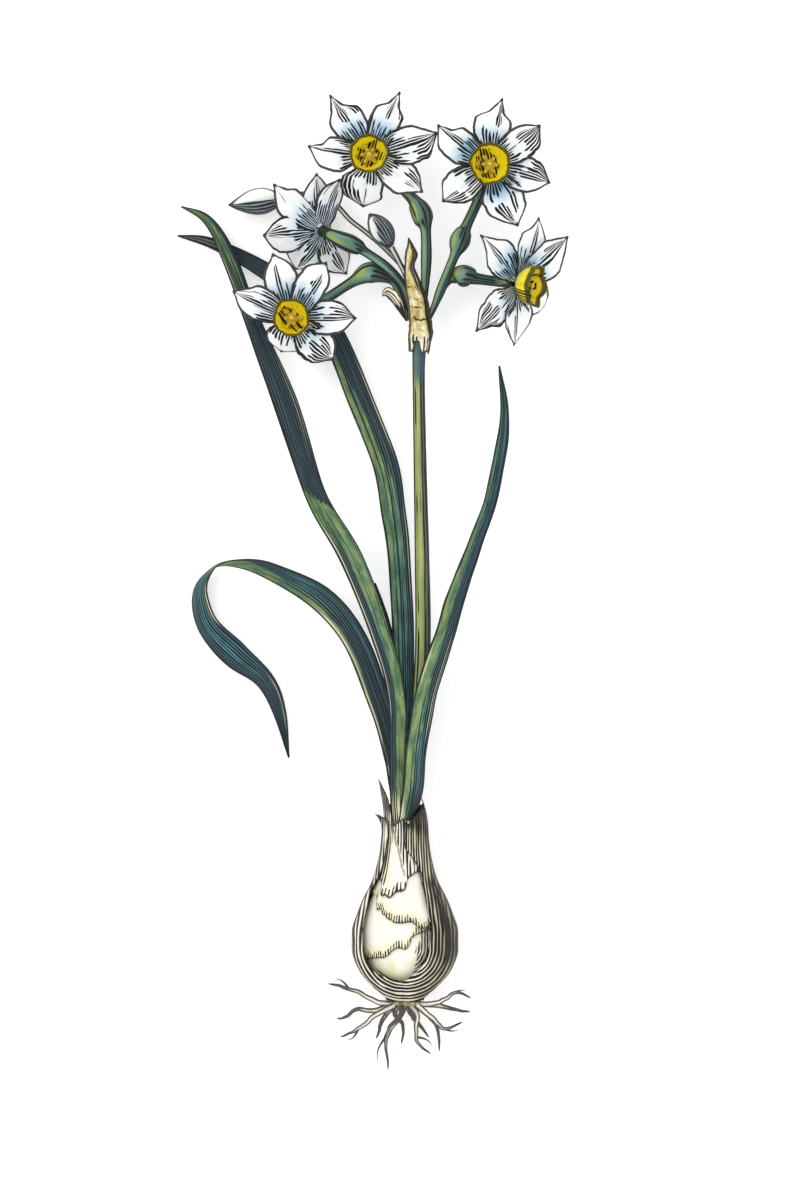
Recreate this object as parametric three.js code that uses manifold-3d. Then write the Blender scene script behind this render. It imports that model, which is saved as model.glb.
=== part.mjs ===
// A polyanthus narcissus lifted from the ground with its bulb and roots and laid on its back.
// Millimetres, +Z up. The bulb's axis runs along +Y, and the flowers lie at the far end.
// The origin is the middle of the whole plant's footprint, on the surface it lies on.
import * as THREE from "three";
import { mergeVertices } from "three/addons/utils/BufferGeometryUtils.js";
import Module from "manifold-3d";

const wasm = await Module();
wasm.setup();

// Driving dimensions, in millimetres.
const AXIS_HEIGHT = 21;
const BULB_RADIUS = 21.4;
const LAYER_STEP = 1;
const PAPER = 0.6;
const GAP = 0.3;
const NECK_TOP = 68;
const HEAD_CENTRE = [6, 269, 21];
const HEAD_RADIUS = 4.5;
const PEDICEL_START = HEAD_RADIUS + GAP;
const PETAL_THICKNESS = 0.6;
const HUB_RADIUS = 3.4;
const HUB_BACK = -0.5;
const HUB_FRONT = 0.9;
const CUP_HEIGHT = 9;
const CUP_RADIUS = 8;
const LEAF_EDGE = 0.6;
const LEAF_RIB = 1.1;
const SHELL_SIDES = 24;

// Colours and finishes, as the living plant has them.
const LEAF_GREEN = { color: 0x3f6b4c, roughness: 0.55, metalness: 0 };
const STALK_GREEN = { color: 0x4f8058, roughness: 0.5, metalness: 0 };
const PETAL_WHITE = { color: 0xf4f3ec, roughness: 0.6, metalness: 0 };
const CUP_YELLOW = { color: 0xf2c81e, roughness: 0.55, metalness: 0 };
const ANTHER_AMBER = { color: 0xb97a1d, roughness: 0.7, metalness: 0 };
const PAPERY_BROWN = { color: 0x8a6a45, roughness: 0.65, metalness: 0 };
const PAPERY_CREAM = { color: 0xdcc99a, roughness: 0.6, metalness: 0 };
const PAPERY_PALE = { color: 0xefe5c4, roughness: 0.6, metalness: 0 };
const BULB_CREAM = { color: 0xf3ead0, roughness: 0.5, metalness: 0 };
const ROOT_CREAM = { color: 0xe2d3ae, roughness: 0.75, metalness: 0 };

const plant = new THREE.Group();

function addPiece(name, geometry, finish, parent = plant) {
  const mesh = new THREE.Mesh(geometry, new THREE.MeshStandardMaterial(finish));
  mesh.name = name;
  parent.add(mesh);
  return mesh;
}

// Solids: a closed geometry becomes a manifold solid to be joined or cut, and comes back.
function solid(geometry) {
  const bare = geometry.clone();
  bare.deleteAttribute("normal");
  bare.deleteAttribute("uv");
  const merged = mergeVertices(bare, 1e-4);
  return new wasm.Manifold(
    new wasm.Mesh({
      numProp: 3,
      vertProperties: new Float32Array(merged.attributes.position.array),
      triVerts: new Uint32Array(merged.index.array),
    }),
  );
}

function geometryOf(made) {
  const mesh = made.getMesh();
  const geometry = new THREE.BufferGeometry();
  geometry.setAttribute("position", new THREE.BufferAttribute(mesh.vertProperties, 3));
  geometry.setIndex(new THREE.BufferAttribute(mesh.triVerts, 1));
  geometry.computeVertexNormals();
  return geometry;
}

function joined(geometries) {
  return geometryOf(geometries.map(solid).reduce((a, b) => a.add(b)));
}

// A row of stations, each [x, y, z, ...sizes], read as one smooth line with t from 0 to 1.
function along(stations, t) {
  const last = stations.length - 1;
  const place = THREE.MathUtils.clamp(t, 0, 1) * last;
  const k = Math.min(Math.floor(place), last - 1);
  const f = place - k;
  const from = stations[k];
  const to = stations[k + 1];
  const before = stations[k - 1] ?? from.map((a, i) => 2 * a - to[i]);
  const after = stations[k + 2] ?? to.map((a, i) => 2 * a - from[i]);
  return from.map((a, i) => {
    const slope = (to[i] - before[i]) / 2;
    const bend = before[i] - 2.5 * a + 2 * to[i] - after[i] / 2;
    const twist = (3 * a - before[i] - 3 * to[i] + after[i]) / 2;
    return a + f * (slope + f * (bend + f * twist));
  });
}

// The curve through [x, value] pairs with rising x, as a smooth height or radius table.
function tableValue(table, x) {
  const last = table.length - 1;
  const k = THREE.MathUtils.clamp(table.findIndex((entry) => entry[0] > x) - 1, 0, last - 1);
  const i = x >= table[last][0] ? last - 1 : k;
  const slope = (j) => {
    const a = table[Math.max(j - 1, 0)];
    const b = table[Math.min(j + 1, last)];
    return (b[1] - a[1]) / (b[0] - a[0]);
  };
  const width = table[i + 1][0] - table[i][0];
  const f = THREE.MathUtils.clamp((x - table[i][0]) / width, 0, 1);
  const blend = f * f * (3 - 2 * f);
  const lift = f * (1 - f) * width * ((1 - f) * slope(i) - f * slope(i + 1));
  return table[i][1] + (table[i + 1][1] - table[i][1]) * blend + lift;
}

function tangentAt(stations, t) {
  const step = 0.002;
  const a = along(stations, Math.max(t - step, 0));
  const b = along(stations, Math.min(t + step, 1));
  return new THREE.Vector3(b[0] - a[0], b[1] - a[1], b[2] - a[2]).normalize();
}

// A round stalk along stations [x, y, z, radius]: a cylinder bent ring by ring to the line.
function stem(stations, sides, steps) {
  const rings = [];
  let across = null;
  for (let i = 0; i <= steps; i += 1) {
    const t = i / steps;
    const [x, y, z, radius] = along(stations, t);
    const ahead = tangentAt(stations, t);
    const seed = across ?? new THREE.Vector3(ahead.y + 0.001, -ahead.x, 0);
    across = seed.clone().addScaledVector(ahead, -seed.dot(ahead)).normalize();
    rings.push({
      centre: new THREE.Vector3(x, y, z),
      across,
      up: across.clone().cross(ahead),
      radius: Math.max(radius, 0.25),
    });
  }
  const geometry = new THREE.CylinderGeometry(1, 1, steps, sides, steps);
  const position = geometry.attributes.position;
  for (let i = 0; i < position.count; i += 1) {
    const ring = rings[Math.round(position.getY(i) + steps / 2)];
    const point = ring.centre
      .clone()
      .addScaledVector(ring.across, position.getX(i) * ring.radius)
      .addScaledVector(ring.up, position.getZ(i) * ring.radius);
    position.setXYZ(i, point.x, point.y, point.z);
  }
  geometry.computeVertexNormals();
  return geometry;
}

// A closed thin sheet: point(u, v) gives its middle, and both faces share their diagonals.
function sheet(point, columns, rows, thicknessAt) {
  const positions = [];
  const step = 0.01;
  for (const face of [0.5, -0.5]) {
    for (let j = 0; j <= rows; j += 1) {
      for (let i = 0; i <= columns; i += 1) {
        const u = i / columns;
        const v = j / rows;
        const du = point(Math.min(u + step, 1), v).sub(point(Math.max(u - step, 0), v));
        const dv = point(u, Math.min(v + step, 1)).sub(point(u, Math.max(v - step, 0)));
        const normal = du.cross(dv).normalize();
        const at = point(u, v).addScaledVector(normal, face * thicknessAt(u, v));
        positions.push(at.x, at.y, at.z);
      }
    }
  }
  const wide = columns + 1;
  const below = wide * (rows + 1);
  const corner = (i, j) => j * wide + i;
  const triangles = [];
  const quad = (a, b, c, d) => triangles.push(a, b, c, a, c, d);
  for (let j = 0; j < rows; j += 1) {
    for (let i = 0; i < columns; i += 1) {
      const [a, b, c, d] = [corner(i, j), corner(i + 1, j), corner(i + 1, j + 1), corner(i, j + 1)];
      quad(a, b, c, d);
      triangles.push(a + below, c + below, b + below, a + below, d + below, c + below);
    }
  }
  for (let i = 0; i < columns; i += 1) {
    const [a, b] = [corner(i, 0), corner(i + 1, 0)];
    const [d, c] = [corner(i, rows), corner(i + 1, rows)];
    quad(b, a, a + below, b + below);
    quad(d, c, c + below, d + below);
  }
  for (let j = 0; j < rows; j += 1) {
    const [a, d] = [corner(0, j), corner(0, j + 1)];
    const [b, c] = [corner(columns, j), corner(columns, j + 1)];
    quad(a, d, d + below, a + below);
    quad(c, b, b + below, c + below);
  }
  const geometry = new THREE.BufferGeometry();
  geometry.setAttribute("position", new THREE.Float32BufferAttribute(positions, 3));
  geometry.setIndex(triangles);
  geometry.computeVertexNormals();
  return geometry;
}

// Bulb: a fleshy body in three papery layers, each layer one step further in.
const BULB_PROFILE = [
  [0, 7.6],
  [1.3, 8.2],
  [4.9, 12.4],
  [10.4, 17.5],
  [15, 20],
  [19, BULB_RADIUS - 0.1],
  [24, BULB_RADIUS],
  [29, BULB_RADIUS - 0.2],
  [34.5, 19.3],
  [40.4, 17],
  [47.6, 13.4],
  [54.9, 11.2],
  [63.2, 9.8],
  [74, 9.4],
  [90, 9.3],
];
const LAYER_ROWS = BULB_PROFILE.map((entry) => entry[0]);

// A shell of the bulb between two depths under its outline. Its top edge follows rim [angle, y]
// round the neck, its wall leans out by flare [angle, distance] above the bulb, and what would
// reach through the surface below is pressed flat.
function shell({ rows, depth, thickness, rim = null, flare = null }) {
  const last = rows.length - 1;
  const outline = [];
  rows.forEach((y, j) => outline.push(new THREE.Vector2(10, j)));
  [...rows].reverse().forEach((y, j) => outline.push(new THREE.Vector2(9, last - j)));
  outline.push(outline[0].clone());
  const turn = Math.PI / SHELL_SIDES;
  const geometry = new THREE.LatheGeometry(outline, SHELL_SIDES, turn);
  const position = geometry.attributes.position;
  for (let i = 0; i < position.count; i += 1) {
    const inside = Math.hypot(position.getX(i), position.getZ(i)) < 9.5;
    const angle = Math.atan2(position.getX(i), position.getZ(i));
    const degrees = THREE.MathUtils.radToDeg(angle);
    const j = Math.round(position.getY(i));
    const y = rim && j === last ? tableValue(rim, degrees) : rows[j];
    const lean = flare ? tableValue(flare, degrees) : 0;
    const above = Math.max(y - NECK_TOP, 0) / 20;
    const radius = tableValue(BULB_PROFILE, y) - depth - (inside ? thickness : 0);
    const reach = radius + lean * above * above;
    const floor = depth + (inside ? thickness : 0);
    const z = Math.max(AXIS_HEIGHT + reach * Math.cos(angle), floor);
    position.setXYZ(i, reach * Math.sin(angle), y, z);
  }
  return geometry;
}

// An outline in the X-Y plane pushed up from z = bottom to z = top, to cut or keep by.
function block(points, bottom, top) {
  const outline = new THREE.Shape(points.map(([x, y]) => new THREE.Vector2(x, y)));
  const geometry = new THREE.ExtrudeGeometry(outline, { depth: top - bottom, bevelEnabled: false });
  return geometry.translate(0, 0, bottom);
}

const FRONT_TOP = 50;
const TUNIC_RIM = [
  [-180, 72],
  [-150, 69],
  [-120, 73],
  [-97, 71],
  [-82, 74.5],
  [-67, 71],
  [-40, 69],
  [-22, 72],
  [-7, 73],
  [8, 71],
  [22, 75],
  [37, 73],
  [52, 78],
  [67, 74],
  [82, 79],
  [97, 73],
  [125, 76],
  [150, 70],
  [180, 72],
];
const TUNIC_FLARE = [
  [-180, 0],
  [-110, 2],
  [-82, 28],
  [-50, 4],
  [0, 0],
  [70, 3],
  [180, 0],
];
// The torn window through which the inner layers show, with the slit that runs up the neck.
const TUNIC_WINDOW = [
  [-12.9, 45.8],
  [-15.8, 36.8],
  [-17.2, 26.8],
  [-15.4, 16.8],
  [-11.3, 11.3],
  [-3.2, 8.6],
  [0.6, 9],
  [6, 14],
  [9.6, 22.2],
  [10.4, 28],
  [10.7, 33.2],
  [8.7, 38.6],
  [7.4, 45.8],
  [6.2, 52.4],
  [-0.4, 54],
  [-1.2, 60],
  [-1.7, 72],
  [-1.8, 90],
  [-5.6, 90],
  [-5.9, 70],
  [-6.4, 62],
  [-8, 56],
  [-10.5, 50],
];
const tunic = solid(
  shell({
    rows: [...LAYER_ROWS.slice(0, 12), 61, 66, 70],
    depth: 0,
    thickness: PAPER,
    rim: TUNIC_RIM,
    flare: TUNIC_FLARE,
  }),
).subtract(solid(block(TUNIC_WINDOW, AXIS_HEIGHT, FRONT_TOP)));
addPiece("bulb_tunic", geometryOf(tunic), PAPERY_BROWN);

// Neck sheath: the thin white tube round the leaf bases, torn off above and below.
const SHEATH_RIM = [
  [-180, 79],
  [-150, 77],
  [-120, 80],
  [-97, 83],
  [-82, 88.4],
  [-67, 82],
  [-50, 77],
  [-35, 73.5],
  [-20, 71],
  [-5, 73.5],
  [10, 74.5],
  [30, 75],
  [50, 76],
  [70, 81.5],
  [90, 80],
  [120, 78],
  [150, 80],
  [180, 79],
];
const SHEATH_FLARE = [
  [-180, 0.6],
  [-110, 1],
  [-82, 2.6],
  [-55, 1.2],
  [0, 0.8],
  [180, 0.6],
];
const SHEATH_HEM = [
  [-30, 30],
  [30, 30],
  [30, 52],
  [6.2, 51.8],
  [2.8, 50.3],
  [1.1, 48.7],
  [0.1, 44.9],
  [-4.1, 43.4],
  [-6.4, 41.3],
  [-8, 42.5],
  [-9.8, 48],
  [-30, 50],
];
const sheath = solid(
  shell({
    rows: [38, 43, 48, 54.9, 61, 67, 73, 80],
    depth: LAYER_STEP,
    thickness: PAPER,
    rim: SHEATH_RIM,
    flare: SHEATH_FLARE,
  }),
).subtract(solid(block(SHEATH_HEM, AXIS_HEIGHT, FRONT_TOP)));
addPiece("neck_sheath", geometryOf(sheath), PAPERY_PALE);

// Two inner layers, each torn off along its own hem and held under the window's edges.
function tornLayer(name, depth, rows, outline, finish) {
  const ring = solid(shell({ rows, depth, thickness: PAPER }));
  addPiece(name, geometryOf(ring.intersect(solid(block(outline, 24, FRONT_TOP)))), finish);
}

const UPPER_HEM = [
  [-18, 46],
  [-11.5, 42.5],
  [-11.5, 40],
  [-9.4, 35.7],
  [-5.2, 32.3],
  [-2.6, 31.5],
  [2.8, 31.9],
  [5.8, 29.6],
  [9, 30],
  [12, 34],
  [19, 36],
  [19, 56],
  [-18, 56],
];
tornLayer("upper_scale", 2 * LAYER_STEP, [29, 34.5, 40.4, 47.6, 55], UPPER_HEM, PAPERY_CREAM);

const LOWER_HEM = [
  [-21, 15],
  [-16.5, 15.5],
  [-14.4, 17],
  [-7.5, 18.1],
  [-5.2, 20.4],
  [-2.6, 21.6],
  [0.5, 21.2],
  [2, 23.5],
  [2.8, 25.8],
  [6.6, 27.7],
  [10.4, 29.6],
  [14, 31],
  [21, 36],
  [21, 52],
  [-21, 52],
];
const LOWER_ROWS = [15, 19, 24, 29, 34.5, 40.4, 47.6, 51];
tornLayer("lower_scale", 3 * LAYER_STEP, LOWER_ROWS, LOWER_HEM, PAPERY_PALE);

// The flesh fills the layers and ends in a flat neck that carries the leaves.
const FLESH_DEPTH = [
  [0, 4],
  [53, 4],
  [59, 2.1],
  [NECK_TOP, 2],
  [90, 2],
];
const FLESH_ROWS = [1.3, 4.9, 10.4, 15, 19, 24, 29, 34.5, 40.4, 47.6, 53, 59, NECK_TOP];
const fleshOutline = FLESH_ROWS.map(
  (y) => new THREE.Vector2(tableValue(BULB_PROFILE, y) - tableValue(FLESH_DEPTH, y), y),
);
const flesh = new THREE.LatheGeometry(
  [new THREE.Vector2(0, 0.2), new THREE.Vector2(4, 0.2), ...fleshOutline, new THREE.Vector2(0, NECK_TOP)],
  SHELL_SIDES,
  Math.PI / SHELL_SIDES,
);
addPiece("bulb_flesh", flesh.translate(0, 0, AXIS_HEIGHT), BULB_CREAM);

// Roots: fleshy threads that spread from the basal plate under the bulb.
const ROOT_SIDES = 5;
const ROOT_STEPS = 6;
const ROOT_TIP = 0.3;
const PLATE_RADIUS = 6.6;
const PLATE_THICKNESS = 1.8;
const ROOT_PATHS = [
  [[-4.5, -1.6, 22], [-11, -0.6, 23], [-19, 3.2, 21.5], [-26, 5.4, 19], [-30.6, 6.4, 17.5]],
  [[-4.5, -1.8, 19], [-12.6, -4.6, 16.5], [-19.6, -4.2, 14], [-23.6, -7.2, 11], [-27.4, -8.4, 8]],
  [[-3.9, -1.8, 24], [-12.2, -6, 26], [-16.8, -10, 27], [-20.4, -11.9, 27.5], [-25.8, -14.4, 27]],
  [[-3.4, -1.8, 18.5], [-7.6, -6, 16], [-10, -11.4, 13], [-11.4, -16, 10]],
  [[0, -1.8, 23.5], [-1.9, -6.4, 25.5], [-6.4, -12.4, 27.5], [-7.6, -17.8, 29], [-6.8, -27.2, 30]],
  [[-2.4, -1.8, 17.5], [-4, -6, 15], [-0.8, -10.4, 11], [-1.3, -18.7, 6]],
  [[2, -1.8, 21], [5, -6, 21.5], [4.6, -11.4, 22.5], [5.2, -17.2, 23.5], [10.3, -21.2, 24]],
  [[4, -1.8, 18.5], [9.6, -6.8, 15.5], [12.8, -11.4, 12], [13.9, -21.4, 8]],
  [[4.6, -1.6, 23.5], [11.4, -7.4, 25.5], [15.6, -11, 27], [22.8, -8.4, 28]],
  [[4.8, -1.6, 20], [14.2, -2.4, 18.5], [20.4, -4.2, 15.5], [26.2, -5.6, 12]],
  [[5, -1.6, 22.5], [10.5, -1.4, 23], [16, 0.4, 23.5], [20.8, 3.2, 23], [26.4, 1, 22]],
  [[1, -1.8, 17], [2.5, -6.5, 11], [6, -11, 6], [9.5, -16, 2.5]],
  [[-1, -1.8, 25.5], [-2, -6, 31], [-6, -10, 35], [-9, -15.5, 36]],
];
const plate = new THREE.CylinderGeometry(PLATE_RADIUS, PLATE_RADIUS - 1, PLATE_THICKNESS, 14);
plate.translate(0, -GAP - PLATE_THICKNESS / 2, AXIS_HEIGHT);
const roots = ROOT_PATHS.map((path) => {
  const last = path.length - 1;
  const sized = path.map(([x, y, z], k) => [x, y, z, ROOT_TIP + 0.95 * Math.sqrt(1 - k / last)]);
  return stem(sized, ROOT_SIDES, ROOT_STEPS);
});
addPiece("roots", joined([plate, ...roots]), ROOT_CREAM);

// Leaves: flat straps with a shallow channel. Stations are
// [x, y, z, half width, roll in degrees, channel depth]; the channel faces the flower stem.
const LEAVES = {
  leaf_1: {
    rows: 20,
    opens: -1,
    stations: [
      [0, 68.3, 25.9, 3.1, 0, 1.5],
      [-1.6, 84, 26.1, 3.3, 0, 0.8],
      [-2.4, 102, 26.6, 3.4, 0, 0.7],
      [-3.4, 121, 26.8, 3.5, -5, 0.7],
      [-8.4, 142, 26, 4, -10, 0.8],
      [-21.2, 176, 23, 4.8, -12, 0.8],
      [-35.6, 202, 19.5, 4.8, 5, 0.8],
      [-48.2, 240.2, 15, 5, 14, 0.8],
      [-60.4, 270.4, 12, 3.9, 12, 0.7],
      [-70, 296, 9.6, 3, 8, 0.5],
      [-79, 312.4, 7, 1.9, 0, 0.3],
      [-90, 318.4, 5, 0.3, 0, 0],
    ],
  },
  leaf_2: {
    rows: 20,
    opens: 1,
    stations: [
      [0, 68.3, 18.6, 3, 0, 1.4],
      [-0.3, 84, 18.3, 3.4, 0, 0.8],
      [0, 102, 17, 3.8, 0, 0.7],
      [-0.4, 128, 15.6, 4.1, 0, 0.7],
      [-1.6, 164, 14.5, 4.4, 4, 0.7],
      [-4, 192, 13.3, 4.9, 8, 0.7],
      [-8.4, 215, 12.2, 5.2, 10, 0.7],
      [-20.2, 246.2, 10.5, 5, 10, 0.7],
      [-31, 269.4, 9, 4.8, 6, 0.6],
      [-43.6, 283.6, 7.2, 4.2, 0, 0.5],
      [-63.6, 296.8, 4.4, 3, -6, 0.4],
      [-80, 304.4, 2.4, 2, -3, 0.2],
      [-91.6, 306.8, 0.9, 0.3, 0, 0],
    ],
  },
  leaf_3: {
    rows: 26,
    opens: 1,
    stations: [
      [0, 69.1, 17, 3, 0, 1.4],
      [-2.9, 84, 16.3, 3.1, 0, 0.8],
      [-4.9, 98, 15.2, 3.7, 0, 0.7],
      [-9.8, 118, 14.3, 4.4, -4, 0.7],
      [-20.4, 144.4, 13.2, 5, -8, 0.8],
      [-33.6, 160.6, 12, 5, -15, 0.8],
      [-52, 171, 10.4, 4.5, -35, 0.7],
      [-65.4, 175, 9, 3.9, -62, 0.7],
      [-76.4, 173.6, 7.8, 3.7, -92, 0.7],
      [-82.8, 164, 6.8, 4.1, -122, 0.8],
      [-79.8, 150, 5.4, 4.9, -148, 0.8],
      [-68.6, 137.8, 4.2, 4.9, -163, 0.8],
      [-56.6, 127.6, 3.4, 3.4, -170, 0.5],
      [-50.8, 115.2, 2.4, 2.4, -174, 0.3],
      [-46.8, 96.4, 0.7, 0.3, -178, 0],
    ],
  },
  leaf_4: {
    rows: 20,
    opens: -1,
    stations: [
      [0.3, 69.3, 27.6, 3, 3, 1.5],
      [3.3, 84, 28.3, 4.1, 14, 1.7],
      [5, 102, 28.8, 4, 8, 1],
      [8.4, 122, 29.2, 4.3, 8, 0.8],
      [15.6, 144.8, 28, 4, 10, 0.8],
      [21.2, 163.2, 25.5, 3.8, 8, 0.7],
      [27.2, 180, 22, 3.4, 0, 0.7],
      [33.2, 198, 17, 3, -8, 0.6],
      [38, 218, 11, 2.6, -10, 0.5],
      [40, 236, 5.6, 1.7, -5, 0.3],
      [38, 254.4, 0.9, 0.3, 0, 0],
    ],
  },
  leaf_5: {
    rows: 12,
    opens: 1,
    stations: [
      [0, 68.9, 15.4, 2.8, 0, 1.4],
      [-2.2, 84, 14.4, 3.1, 0, 0.8],
      [-2.8, 100, 13.2, 3.4, 0, 0.7],
      [-3.6, 116, 12.4, 3.4, 0, 0.6],
      [-5.6, 133, 11.8, 3.1, 0, 0.5],
      [-8.4, 151.2, 11.4, 2.3, 0, 0.3],
      [-12, 166.8, 11.2, 0.3, 0, 0],
    ],
  },
};
const LEAF_COLUMNS = 4;

function leafPoint(stations, opens) {
  return (u, v) => {
    const [x, y, z, half, roll, channel] = along(stations, v);
    const ahead = tangentAt(stations, v);
    const level = new THREE.Vector3(0, 0, 1).addScaledVector(ahead, -ahead.z).normalize();
    const side = ahead.clone().cross(level).applyAxisAngle(ahead, THREE.MathUtils.degToRad(roll));
    const up = side.clone().cross(ahead);
    const across = 2 * u - 1;
    return new THREE.Vector3(x, y, z)
      .addScaledVector(side, half * across)
      .addScaledVector(up, opens * channel * across * across);
  };
}

for (const [name, { stations, rows, opens }] of Object.entries(LEAVES)) {
  const thickness = (u, v) => {
    const rib = 1 - Math.abs(2 * u - 1);
    return LEAF_EDGE + (LEAF_RIB - LEAF_EDGE) * rib * (1 - 0.6 * v);
  };
  addPiece(name, sheet(leafPoint(stations, opens), LEAF_COLUMNS, rows, thickness), LEAF_GREEN);
}

// Scape: the leafless flower stem, swollen at its top into the head that carries the flowers.
const SCAPE_STATIONS = [
  [0.4, 68.3, 21.9, 2.3],
  [1.8, 84, 22, 2.5],
  [3.2, 100, 22, 2.7],
  [6, 122, 22, 2.9],
  [7.2, 146, 21.8, 3],
  [6.8, 178, 21.5, 2.8],
  [6, 216, 21.3, 2.5],
  [5.5, 246, 21.1, 2.4],
  [5.6, 259, 21, 2.6],
  [6, 267, 21, 3.2],
];
const head = new THREE.SphereGeometry(HEAD_RADIUS, 12, 8).translate(...HEAD_CENTRE);
addPiece("scape", joined([stem(SCAPE_STATIONS, 12, 18), head]), STALK_GREEN);

// Spathe: the dry papery hood that wrapped the buds, split down its back and still standing.
// Stations are [x, y, z of its crest, radius of its curl, left wrap, right wrap in degrees].
const SPATHE_STATIONS = [
  [5.3, 260, 24.6, 3.6, 95, 95],
  [5.7, 264.5, 26, 4.9, 92, 85],
  [5.9, 269, 26.5, 5.3, 88, 62],
  [5.2, 275, 27.1, 5.4, 84, 52],
  [4.2, 281, 27.7, 5.2, 72, 50],
  [3.3, 287, 28.1, 4.4, 58, 56],
  [2.6, 292.5, 28.3, 3.8, 48, 56],
  [2.7, 298, 28.3, 3.2, 36, 44],
  [1.6, 304.4, 27.6, 1.6, 12, 12],
];
const spathePoint = (u, v) => {
  const [x, y, z, curl, left, right] = along(SPATHE_STATIONS, v);
  const angle = THREE.MathUtils.degToRad(-left + (left + right) * u);
  return new THREE.Vector3(x + curl * Math.sin(angle), y, z - curl * (1 - Math.cos(angle)));
};
// The flap torn from its left edge curls away.
const FLAP_STATIONS = [
  [0.9, 271.5, 23.6, 1.2, -60, 0],
  [-1.4, 276.5, 24, 1.9, -35, 0.3],
  [-4.2, 281, 24.6, 2.2, -15, 0.5],
  [-7, 283, 24.2, 1.9, 10, 0.6],
  [-8.9, 281.8, 22.6, 0.5, 25, 0.2],
];
const spathe = joined([
  sheet(spathePoint, 8, 12, () => PAPER),
  sheet(leafPoint(FLAP_STATIONS, 1), 2, 6, () => PAPER),
]);
addPiece("spathe", spathe, PAPERY_CREAM);

// Flowers. Each has its throat, the way it faces, and its six petal tips seen from the throat.
const FLOWERS = {
  flower_1: {
    throat: [-14, 337.2, 30],
    faces: [0.05, -0.05, 1],
    tips: [
      [-16, 24, 3],
      [12, 25.6, -2],
      [26.8, 10.4, 2],
      [21.2, -14.4, -5],
      [-2.8, -20, -12],
      [-24.8, 3.6, 2],
    ],
    leaves: [0.22, 0.93, 0.3],
    stalk: [
      [7.8, 284, 23.8, 1.6],
      [8.4, 296, 24, 2.2],
      [8.3, 305.5, 23.3, 2.1],
      [6.6, 314, 22, 4.1],
      [1.6, 321.6, 20.6, 2.3],
      [-5, 328.3, 20, 2.1],
      [-11.6, 334.9, 22, 2.1],
    ],
  },
  flower_2: {
    throat: [33.6, 333.2, 30],
    faces: [0, 0, 1],
    tips: [
      [5.2, 26.8, 1],
      [20.4, 16, 3],
      [24.4, -6.8, -2],
      [11.6, -24, -5],
      [-18.8, -14.4, -1],
      [-20.8, 16, 4.5],
    ],
    leaves: [0.72, 0.62, 0.3],
    stalk: [
      [11.7, 277.5, 23.3, 1.4],
      [14.5, 284.6, 23.3, 2],
      [18.4, 294.4, 22.6, 1.9],
      [22, 302, 22, 4],
      [26, 311.2, 20.8, 2.1],
      [30, 322, 20, 2.1],
      [32.8, 330.6, 21.8, 2.1],
    ],
  },
  flower_3: {
    throat: [-33.2, 308, 13.5],
    faces: [-0.45, 0.25, -0.86],
    tips: [
      [-19.3, 18, 15],
      [-2.2, 22.8, 7.8],
      [6, 16.8, 9],
      [9.8, -16.8, -12.6],
      [-11, -15.2, -8],
      [-23.6, -2.4, 11.6],
    ],
    leaves: [-0.52, 0.85, -0.06],
    stalk: [
      [1.4, 279, 20.7, 1.2],
      [-1.2, 286.6, 20.9, 1.5],
      [-7.6, 293.3, 22, 1.9],
      [-16, 298.8, 21.8, 1.9],
      [-23.4, 302.6, 20.8, 3.7],
      [-28.4, 305.2, 19.4, 2.2],
    ],
  },
  flower_4: {
    throat: [-45.2, 272, 28],
    faces: [0, 0.04, 1],
    tips: [
      [-7.6, 26.4, 0],
      [14, 22.8, 2],
      [25.9, 0.4, 0],
      [16.8, -16.2, -4],
      [-4.4, -12.8, -10],
      [-23.6, 11.2, 1],
    ],
    leaves: [-0.62, 0.58, -0.53],
    stalk: [
      [0.2, 276.5, 16.8, 1.2],
      [-2.4, 283, 15.6, 1.5],
      [-5.6, 288, 15.5, 1.7],
      [-13.6, 291, 16.4, 4.4],
      [-21, 287.4, 16.3, 2.3],
      [-30, 281.6, 15.8, 2.1],
      [-38.4, 276.2, 16.4, 2.1],
      [-43.6, 272.9, 19.4, 2.1],
    ],
  },
  flower_5: {
    throat: [44.4, 286.4, 21],
    faces: [0.75, -0.16, 0.64],
    tips: [
      [-14.6, 19.2, 10],
      [9.2, 27, -3],
      [21.2, 19.6, -8],
      [11.5, -8.5, -20],
      [-0.8, -24.7, -6],
      [-16.4, -19.4, 9],
    ],
    leaves: [0.62, 0.62, -0.48],
    stalk: [
      [11.4, 277.5, 17.3, 1.2],
      [13.6, 283, 17, 1.5],
      [17.2, 288, 17.6, 1.8],
      [23.4, 290, 18.4, 4.4],
      [31, 288.3, 17.3, 2.2],
      [37, 287.7, 16.4, 2.1],
    ],
  },
};

// A petal's half widths at even steps from its root to its pointed tip.
const PETAL_HALF_WIDTHS = [2.3, 5, 6.7, 6.7, 4.6, 0.4];
const PETAL_ROOT = 1.6;
const PETAL_COLUMNS = 2;
const PETAL_ROWS = 5;

function rowValue(values, v) {
  return along(values.map((value) => [value]), v)[0];
}

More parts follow.
